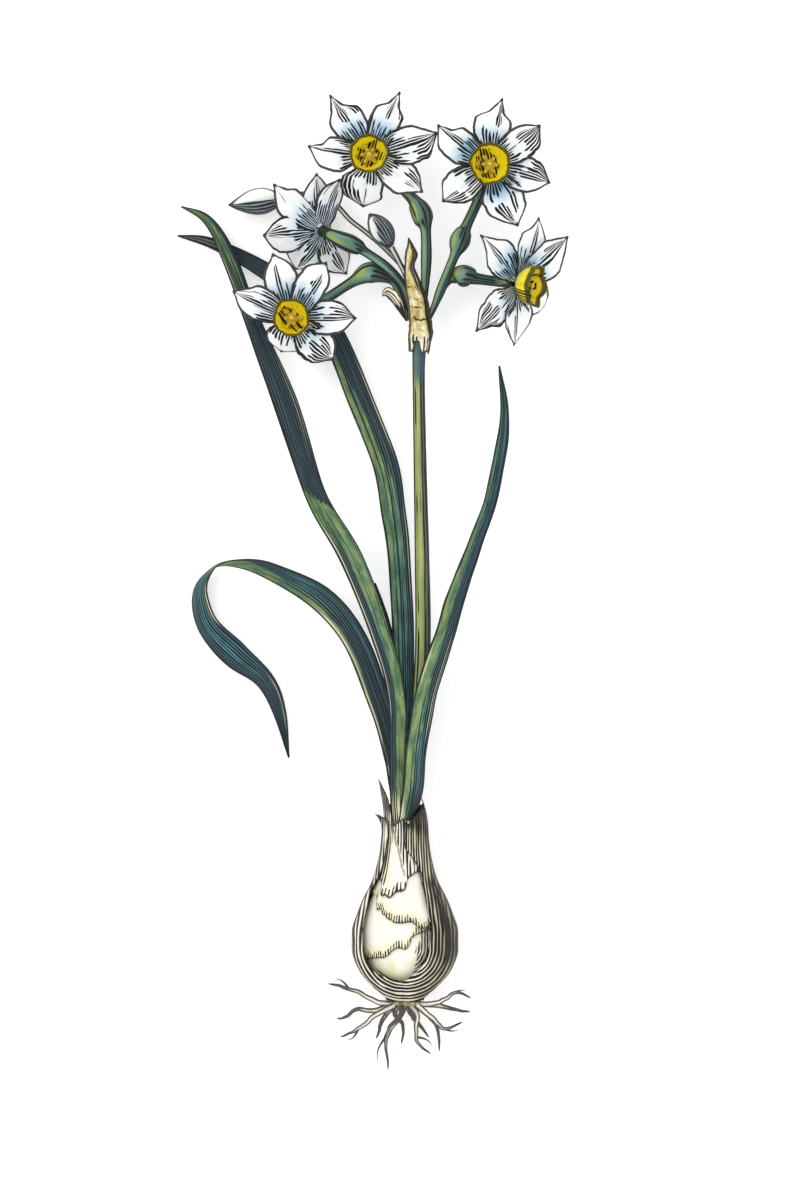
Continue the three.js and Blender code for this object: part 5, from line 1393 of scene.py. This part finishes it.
HUB_COLUMNS = 40
HUB_OUTLINE = [
    [0.01, -0.5], [2.5, -0.5], [3, -0.3], [3.8, 0.15], [4.3, 0.5], [3.6, 0.85], [2.4, 0.9], [0.01, 0.9],
]
for number, (name, flower) in enumerate(FLOWERS.items(), start=1):
    turned = Vector((0, 0, 1)).rotation_difference(Vector(flower["faces"]).normalized()).inverted()
    points, faces, petal_grain, petal_tone = [], [], [], []

    def petal_thickness(j, i):
        return (0.12 + 0.34 * (1 - spots[j][i] ** 4)) * (0.5 + 0.5 * fade(PETAL_ROWS - 1 - j, 0, 5))

    for k, offset in enumerate(flower["tips"]):
        level = 0.5 if k % 2 else -0.1
        sides, odd_one = flower["sides"][k], number * 6 + k
        grid, spots = petal_grid(turned @ Vector(offset), level, sin(2.4 * k + number - 1), odd_one, sides)
        sheet_points, sheet_faces, places = closed_sheet(grid, petal_thickness)
        faces += [tuple(index + len(points) for index in face) for face in sheet_faces]
        points += sheet_points
        shade, mark, tip_mark = flower["shade"][k], flower["strokes"][k], flower["tip_strokes"][k]
        for j, i, side in places:
            v, s = petal_run(j), spots[j][i]
            run = Vector(offset).length * v
            # Painted shade: a blue wash near the throat, and dark hatch strokes near the throat, the tip and
            # the folds.
            blue_shade_wash = shade * fade(run, 19, 8) * (0.6 + 0.4 * fade(abs(s), 1, 0.2))
            near_throat = min(max((9.5 + 8 * mark - run) / (2.5 + 8 * mark), 0), 1)
            handed = s * (1 if (k + number) % 2 else -1)
            near_tip = tip_mark * fade(v, 0.42, 0.7) * fade(handed, -0.5, 0.3)
            for petal, first, last, low, high, half in flower["folds"]:
                if petal == k:
                    part = min(max((v - low) / (high - low), 0), 1)
                    swell = half * (0.5 + sin(pi * part))
                    inner = fade(abs(s - first - (last - first) * part), swell + 0.1, swell)
                    inner *= fade(v, low, low + 0.08) * fade(v, high + 0.03, high - 0.05)
                    near_tip = max(near_tip, inner)
            edge = max(1 if i < 2 or i > PETAL_COLUMNS - 3 else 0, fade(v, 0.905, 0.945))
            crease = exp(-((s / 0.09) ** 2)) * fade(v, 0.15, 0.3) * fade(v, 0.95, 0.7)
            petal_grain.append((6.5 * s + 17 * k + 110 * number, 0, run))
            petal_tone.append((blue_shade_wash, max(near_throat, near_tip), crease, edge))
    start = len(points)
    for radius, z in HUB_OUTLINE:
        for i in range(HUB_COLUMNS):
            angle = 2 * pi * i / HUB_COLUMNS
            points.append(Vector((radius * cos(angle), radius * sin(angle), z)))
            petal_grain.append((6 * cos(angle), 6 * sin(angle), radius))
            # The hub takes the same blue wash and hatch of painted shade.
            petal_tone.append((0.5, 0.9, 0, 0))
    faces += ring_faces(len(HUB_OUTLINE), HUB_COLUMNS, start)
    faces.append(tuple(reversed(range(start, start + HUB_COLUMNS))))
    faces.append(tuple(range(len(points) - HUB_COLUMNS, len(points))))
    placed = in_place(points, flower)
    corolla = new_piece(f"petals_{number}", placed, faces, petal_tissue, petal_grain, petal_tone)
    hand_in(corolla, "petal_white", f"{name}_petals")


# Cups: the corona, one ring of thick yellow tissue that stands in the middle of the petals.
# Its rim is frilled, and its inside darkens to orange-brown towards the stamens: this is painted
# shade in the throat, with dark hatch strokes there and on part of its outer wall.
CUP_OUTLINE = [
    [0, 0], [3.2, 0], [5.3, 1.4], [7, 4.2], [7.75, 6.5], [8, 8], [7.9, 8.35], [7.6, 8.35], [7.3, 8],
    [6.9, 6.4], [6.2, 4.3], [4.7, 1.9], [2.8, 0.85], [0, 0.8],
]
CUP_FLOOR = 1.2
cup_tissue, tree, grain, ways, tones = open_skin("yellow cup tissue", around=6.0)
nerves = streaks(tree, grain, 0.7, 10, 0.4, 0.64)
amber = both(tree, tones[0], streaks(tree, grain, 2.4, 4, 0.25, 0.5, 5))
close_skin(
    tree, "#ffea20",
    [
        # The orange-brown and the dark strokes are painted shade.
        (both(tree, nerves, 0.2), "#f0cf12"), (both(tree, amber, 0.8), "#b27a2e"),
        (both(tree, tones[1], 0.7), "#f2e49a"),
        (marks(tree, stored_ways(tree, "strokes"), tones[3], 1.2, 0.8, 5, 0.3), "#2b2415"),
        (both(tree, tones[2], 0.92), "#2a2312"),
    ],
    nerves, 0.0001, (0.4, 0.55), Specular_IOR_Level=0.25, Subsurface_Weight=0.14, Subsurface_Scale=0.001,
)

# The frill is a rule: the wall opens and shuts by folds, ever more towards the rim.
frill_tree, given = growth_tree(
    "frilled rim", {"Folds": "Float", "Turn": "Float", "Spread": "Float", "Rise": "Float"})
cup_place = add_node(frill_tree, "GeometryNodeInputPosition", {})
cup_parts = add_node(frill_tree, "ShaderNodeSeparateXYZ", {0: cup_place}).outputs
cup_turn = add_node(frill_tree, "ShaderNodeMath", {0: cup_parts[0], 1: cup_parts[1]}, operation="ARCTAN2")
cup_wave = add_node(
    frill_tree, "ShaderNodeMath", {0: cup_turn, 1: given["Folds"], 2: given["Turn"]},
    operation="MULTIPLY_ADD")
cup_crest = add_node(frill_tree, "ShaderNodeMath", {0: cup_wave}, operation="COSINE")
cup_up = add_node(
    frill_tree, "ShaderNodeMapRange", {"Value": cup_parts[2], "From Min": 0.0032, "From Max": 0.0092})
cup_power = add_node(frill_tree, "ShaderNodeMath", {0: cup_up, 1: cup_up}, operation="MULTIPLY")
cup_ruffle = add_node(frill_tree, "ShaderNodeMath", {0: cup_crest, 1: cup_power}, operation="MULTIPLY")
cup_wide = add_node(frill_tree, "ShaderNodeMath", {0: cup_ruffle, 1: given["Spread"]}, operation="MULTIPLY")
cup_out = add_node(
    frill_tree, "ShaderNodeVectorMath", {0: cup_place, 1: (1.0, 1.0, 0.0)}, operation="MULTIPLY")
cup_spread = add_node(frill_tree, "ShaderNodeVectorMath", {0: cup_out, "Scale": cup_wide}, operation="SCALE")
cup_lift = add_node(frill_tree, "ShaderNodeMath", {0: cup_ruffle, 1: given["Rise"]}, operation="MULTIPLY")
cup_raise = add_node(frill_tree, "ShaderNodeCombineXYZ", {"Z": cup_lift})
cup_move = add_node(frill_tree, "ShaderNodeVectorMath", {0: cup_spread, 1: cup_raise}, operation="ADD")
cup_moved = add_node(
    frill_tree, "GeometryNodeSetPosition", {"Geometry": given["Geometry"], "Offset": cup_move})
finish_growth(frill_tree, cup_moved, given["Material"])


def set_on_flower(piece, flower):
    """Move a mesh made in metres in a flower's own frame to its place on the plant."""
    facing = flower.get("cup_faces", flower["faces"])
    turned = Vector((0, 0, 1)).rotation_difference(Vector(facing).normalized())
    throat = plant_point(flower["throat"])
    for vertex in piece.data.vertices:
        vertex.co = turned @ vertex.co + throat
    piece.data.update()


# The patch of painted shade in each cup's throat: its middle, its half sizes and its turn, seen
# from the front, and the way that its strokes run.
THROATS = [
    [-0.7, 0, 5.2, 4.4, 1.4, 1.2], [-1.1, 0.2, 6, 4.6, 1.9, 1.9], [0, 0, 4.8, 4.8, 0, 1],
    [-0.3, 0.1, 6.2, 3.4, -0.8, -0.9], [-1, 1, 7.5, 6.5, 0, 1.4],
]
# Where each cup's lip rolls outward: the way it faces, half its spread, and how pale it is there.
LIPS = [[-0.65, 1.15, 0.9], [-2.5, 0.9, 0.1], [0, 0.1, 0], [-1.4, 0.8, 0.1], [-1.9, 0.8, 0.3]]
CUP_STRETCH = [[1, 0.95], [1.04, 1.04], [1, 1], [0.9, 0.97], [1, 1.04]]
CUP_COLUMNS, CUP_STEPS = 120, 65
for number, (name, flower) in enumerate(FLOWERS.items(), start=1):
    points, cup_grain, cup_tone, stroke_ways = [], [], [], []
    patch_x, patch_y, patch_long, patch_wide, patch_turn, stroke_turn = THROATS[number - 1]
    lip_turn, lip_half, lip_pale = LIPS[number - 1]
    for j in range(CUP_STEPS + 1):
        radius, height = along(CUP_OUTLINE, j / CUP_STEPS)
        inside = fade(j / CUP_STEPS, 0.5, 0.56)
        for i in range(CUP_COLUMNS):
            angle = 2 * pi * i / CUP_COLUMNS
            rim = fade(height, 3, 8)
            crinkle = 1 + 0.11 * rim * rough(1.7 * cos(angle), 1.7 * sin(angle), number * 5)
            crinkle += 0.02 * rim * sin(13 * angle + 5 * rough(cos(angle), sin(angle), number))
            r = max(radius, 0.02) * crinkle
            tall = height + 0.3 * rim * rough(2.4 * cos(angle), 2.4 * sin(angle), number * 9)
            wide, high = CUP_STRETCH[number - 1]
            spot = Vector((wide * r * cos(angle), high * r * sin(angle), tall + CUP_FLOOR))
            points.append((spot - PLANT_PLACE * 1000))
            cup_grain.append((7 * cos(angle), 7 * sin(angle), height + 9 * inside + number * 20))
            x, y = spot.x - patch_x, spot.y - patch_y
            u = (x * cos(patch_turn) + y * sin(patch_turn)) / patch_long
            w = (y * cos(patch_turn) - x * sin(patch_turn)) / patch_wide
            patch = inside * fade(hypot(u, w) + 0.25 * rough(x * 0.5, y * 0.5, number), 1.15, 0.8)
            # The orange-brown and the hatch strokes are painted shade, in the throat and on part of the outer
            # wall.
            amber = patch * (0.35 + 0.65 * fade(rough(x * 0.45, y * 0.45, number * 7), -0.2, 0.3))
            lines = patch * (0.4 + 0.55 * fade(rough(x * 0.4 + 9, y * 0.4, number * 3), -0.3, 0.2))
            lines += inside * 0.55 * fade(rough(1.4 * cos(angle), 1.4 * sin(angle), number * 4), 0.15, 0.4)
            if number == 5:
                lines += 0.75 * (1 - inside) * fade(cos(angle + 2.3), 0.5, 0.85)
            else:
                uneven = rough(2 * cos(angle), 2 * sin(angle), number * 6)
                lines += 0.45 * (1 - inside) * fade(uneven, -0.3, 0.2)
            lip = inside * fade(cos(angle - lip_turn), cos(lip_half), cos(lip_half * 0.8))
            turned = (
                y * cos(stroke_turn) - x * sin(stroke_turn), x * cos(stroke_turn) + y * sin(stroke_turn))
            stroke_ways.append(turned if inside > 0.5 else (7 * angle, height))
            edge = fade(j / CUP_STEPS, 0.28, 0.31) * fade(j / CUP_STEPS, 0.71, 0.67)
            edge = max(edge, lip * fade(abs(height - 5.2), 0.5, 0.25))
            outside = 0.4 * (1 - inside) * fade(height, 6.5, 0.5) + lip_pale * lip * fade(height, 4.8, 5.4)
            cup_tone.append((amber, outside, edge, min(lines, 1)))
    faces = ring_faces(CUP_STEPS + 1, CUP_COLUMNS)
    source = new_piece(f"cup_{number}_wall", points, faces, cup_tissue, cup_grain, cup_tone)
    store_ways(source, "strokes", stroke_ways)
    corona = grown(f"frilled_cup_{number}", source, frill_tree, {
        "Folds": 5.0, "Turn": number - 1.0, "Spread": 0.03, "Rise": 0.0006, "Material": cup_tissue,
    })
    set_on_flower(corona, flower)
    hand_in(corona, "cup_yellow", f"{name}_cup")


# Stamens: six anthers heavy with pollen stand on the cup's floor in two heights, round the style
# with its knobbed stigma. Every anther is the same small body, set round a circle.
STAMEN_FLOOR = 2.3
STAMEN_RING = 0.0019
anther_tissue, tree, grain, ways, tones = open_skin("amber anther with pollen")
pollen = streaks(tree, grain, 0.16, 0.16, 0.4, 0.62)
grooves = streaks(tree, grain, 0.5, 4, 0.5, 0.6, 3)
close_skin(
    tree, "#f6d22c", [(both(tree, pollen, 0.5), "#ffec70"), (both(tree, grooves, 0.5), "#7a5518")],
    pollen, 0.0001, (0.6, 0.85),
)
ANTHER_OUTLINE = [
    [0, 0], [0.22, 0.05], [0.24, 0.8], [0.6, 1.1], [0.86, 1.9], [0.84, 2.8], [0.6, 3.6], [0, 3.9],
]
STYLE_OUTLINE = [
    [0, 0], [2.25, 0], [2.3, 0.25], [2.1, 0.45], [0.5, 0.55], [0.36, 1.4], [0.34, 3.4], [0.45, 4],
    [0.85, 4.6], [0.95, 5.1], [0.7, 5.5], [0, 5.6],
]


def turned_body(name, outline, lobes, columns, steps, material):
    """A small body of revolution, in metres at the origin, with lobes round it."""
    points, body_grain = [], []
    for j in range(steps + 1):
        radius, height = along(outline, j / steps)
        for i in range(columns):
            angle = 2 * pi * i / columns
            r = max(radius, 0.01) * (1 + lobes * cos(2 * angle))
            points.append(Vector((r * cos(angle), r * sin(angle), height)) - PLANT_PLACE * 1000)
            body_grain.append((r * cos(angle), r * sin(angle), height))
    return new_piece(name, points, ring_faces(steps + 1, columns), material, body_grain)


stamen_tree, given = growth_tree("ring of stamens", {
    "Anther": "Object", "Anthers": "Int", "Ring Radius": "Float", "Short Anther": "Float", "Lean": "Float",
    "Seed": "Int",
})
places_ring = add_node(
    stamen_tree, "GeometryNodeMeshCircle", {"Vertices": given["Anthers"], "Radius": given["Ring Radius"]})
anther_body = add_node(stamen_tree, "GeometryNodeObjectInfo", {"Object": given["Anther"]})
which = add_node(stamen_tree, "GeometryNodeInputIndex", {})
odd = add_node(stamen_tree, "ShaderNodeMath", {0: which, 1: 2.0}, operation="MODULO")
tallness = add_node(
    stamen_tree, "ShaderNodeMapRange", {"Value": odd, "To Min": 1.0, "To Max": given["Short Anther"]})
sizes = add_node(stamen_tree, "ShaderNodeCombineXYZ", {"X": 1.0, "Y": 1.0, "Z": tallness})
astray = add_node(
    stamen_tree, "FunctionNodeRandomValue", {"Min": -0.5, "Max": 0.5, "Seed": given["Seed"]},
    data_type="FLOAT")
spin = add_node(stamen_tree, "ShaderNodeMath", {0: which, 1: pi / 3, 2: astray}, operation="MULTIPLY_ADD")
droop = add_node(stamen_tree, "ShaderNodeMath", {0: astray, 1: given["Lean"]}, operation="ADD")
turn_vector = add_node(stamen_tree, "ShaderNodeCombineXYZ", {"Y": droop, "Z": spin})
stood = add_node(stamen_tree, "GeometryNodeInstanceOnPoints", {
    "Points": places_ring, "Instance": anther_body.outputs["Geometry"], "Rotation": turn_vector,
    "Scale": sizes,
})
gathered = add_node(stamen_tree, "GeometryNodeJoinGeometry", {})
stamen_tree.links.new(stood.outputs[0], gathered.inputs[0])
stamen_tree.links.new(given["Geometry"], gathered.inputs[0])
finish_growth(stamen_tree, gathered, given["Material"])

anther = turned_body("anther_body", ANTHER_OUTLINE, 0.12, 14, 26, anther_tissue)
for number, (name, flower) in enumerate(FLOWERS.items(), start=1):
    style = turned_body(f"style_{number}", STYLE_OUTLINE, 0.0, 20, 40, anther_tissue)
    ring_of_stamens = grown(f"stamens_{number}", style, stamen_tree, {
        "Anther": anther, "Anthers": 6, "Ring Radius": STAMEN_RING, "Short Anther": 0.72, "Lean": 0.45,
        "Seed": number, "Material": anther_tissue,
    })
    for vertex in ring_of_stamens.data.vertices:
        vertex.co.z += STAMEN_FLOOR * 0.001
    set_on_flower(ring_of_stamens, flower)
    ring_of_stamens.data.shade_smooth()
    hand_in(ring_of_stamens, "anther_amber", f"{name}_stamens")
bpy.data.objects.remove(anther)


# Buds: two flowers still shut, their white petals wrapped over one another round the stalk's end,
# with painted shade, grey and hatched, on the side turned from the light, and dark at both ends.
BUDS = {
    "bud_1": {
        "leaves": [0, 0.78, -0.62],
        "stalk": [
            [5, 280, 14.6, 1.05], [0.5, 291.5, 12, 1.05], [-8, 301, 11, 1.05], [-15.6, 307.6, 10.5, 1.05],
            [-22, 312.6, 10, 1.05], [-28, 318.8, 9, 1.1], [-36, 322.4, 8.8, 1.2], [-43, 322.8, 8.8, 1.3],
            [-49.6, 321.4, 8.8, 1.5],
        ],
        "bud": [
            [-49.9, 321.3, 8.8, 1.5], [-52.6, 320.8, 8.8, 3.9], [-57, 320.2, 8.8, 5.4],
            [-62, 319.6, 8.8, 4.9], [-67, 319, 8.8, 2.7], [-71, 318.7, 8.8, 0.3],
        ],
        "pale_side": (-0.1, 0.92, 0.3),
    },
    "bud_2": {
        "leaves": [-0.3, 0.8, 0.52],
        "stalk": [
            [2.4, 280, 24.1, 1.05], [0.5, 288.6, 23.4, 1.05], [-2.6, 295.5, 22.6, 1.1],
            [-5.5, 300.9, 22.3, 1.3],
        ],
        "bud": [
            [-5.7, 301.2, 22.3, 1.3], [-6.9, 303.3, 22.6, 3.3], [-8.6, 306.2, 23, 4.7],
            [-10.8, 309.4, 23.4, 4.5], [-12.8, 312.2, 23.8, 2.9], [-14.4, 314.4, 24, 0.3],
        ],
        "pale_side": (-0.95, 0.2, 0.12),
    },
}
bud_tissue, tree, grain, ways, tones = open_skin("shut white petals", around=4.0)
cells = streaks(tree, grain, 0.4, 8, 0.38, 0.66)
shaded = soft_step(tree, stored(tree, "pale"), 0.88, 0.46)
grey = both(tree, shaded, streaks(tree, grain, 1.2, 9, 0.25, 0.55, 4))
close_skin(
    tree, "#f9f9f5",
    [
        # Painted shade, grey and hatched, on the side turned from the light.
        (both(tree, cells, 0.12), "#d3d8d7"), (both(tree, shaded, 0.45), "#b3c6cf"),
        (both(tree, grey, 0.8), "#5f7c8c"), (marks(tree, ways, shaded, 1.2, 0.9, 9, 0.4), "#14181a"),
        (both(tree, tones[0], 0.9), "#33403c"), (both(tree, flank_line(tree, 0.75), 0.95), "#1d1b1a"),
    ],
    cells, 0.00006, (0.45, 0.6), Subsurface_Weight=0.08, Subsurface_Scale=0.0015, Sheen_Weight=0.1,
)
BUD_STEPS = 70
for name, bud in BUDS.items():
    line = stalk_line(bud["stalk"], bud["leaves"], 90, 0.7)
    stem = tube(f"{name}_pedicel", [line], green_stalk, 16, 3.0, 0.05, 1.6)
    hand_in(stem, "stalk_green", f"{name}_stalk")
    line = []
    for k in range(BUD_STEPS + 1):
        t = k / BUD_STEPS
        x, y, z, radius = along(bud["bud"], t)
        line.append([x, y, z, max(radius, 0.12), fade(t, 0.12, 0) + fade(t, 0.9, 1)])
    shut_bud = tube(f"shut_{name}", [line], bud_tissue, 60, 3.0, 0.035, 4.0, bud["pale_side"])
    hand_in(shut_bud, "petal_white", name)


# The plant lies on a plain pale table, under soft daylight from above and a little from the upper
# left, seen straight from above as the picture shows it.
table_top = bpy.data.meshes.new("pale_table")
table_top.from_pydata([(-4, -4, 0), (4, -4, 0), (4, 4, 0), (-4, 4, 0)], [], [(0, 1, 2, 3)])
table = bpy.data.objects.new("pale_table", table_top)
bpy.context.scene.collection.objects.link(table)
table_paint = bpy.data.materials.new("matt white board")
table_paint.use_nodes = True
board = table_paint.node_tree.nodes["Principled BSDF"]
board.inputs["Base Color"].default_value = linear("#f2f2f0")
board.inputs["Roughness"].default_value = 0.9
# It glows a little, like a light table, so that the shadows on it stay as pale as the picture's page.
board.inputs["Emission Color"].default_value = linear("#ffffff")
board.inputs["Emission Strength"].default_value = 0.36
table_top.materials.append(table_paint)

camera_data = bpy.data.cameras.new("camera")
camera_data.lens = 200
camera_data.clip_end = 20
camera = bpy.data.objects.new("camera", camera_data)
# The picture is 480 mm tall where the flowers lie, 21 mm above the table.
camera.location = plant_point((-2, 160, AXIS_HEIGHT + 480 * 200 / 36))
bpy.context.scene.collection.objects.link(camera)
bpy.context.scene.camera = camera

for label, place, size, power in [
    ("window light", (-1.1, 0.9, 2.6), 2.0, 25),
    ("fill light", (2.2, -1.0, 2.2), 2.0, 14),
]:
    light = bpy.data.lights.new(label, "AREA")
    light.size = size
    light.energy = power
    lamp = bpy.data.objects.new(label, light)
    lamp.location = place
    lamp.rotation_euler = (-Vector(place)).to_track_quat("-Z", "Y").to_euler()
    bpy.context.scene.collection.objects.link(lamp)
sky = bpy.data.worlds.new("soft daylight")
sky.use_nodes = True
sky.node_tree.nodes["Background"].inputs["Color"].default_value = linear("#fafbfd")
sky.node_tree.nodes["Background"].inputs["Strength"].default_value = 0.92
bpy.context.scene.world = sky
# The plain view keeps the plant's whites and yellows as clear as the picture has them.
bpy.context.scene.view_settings.view_transform = "Standard"
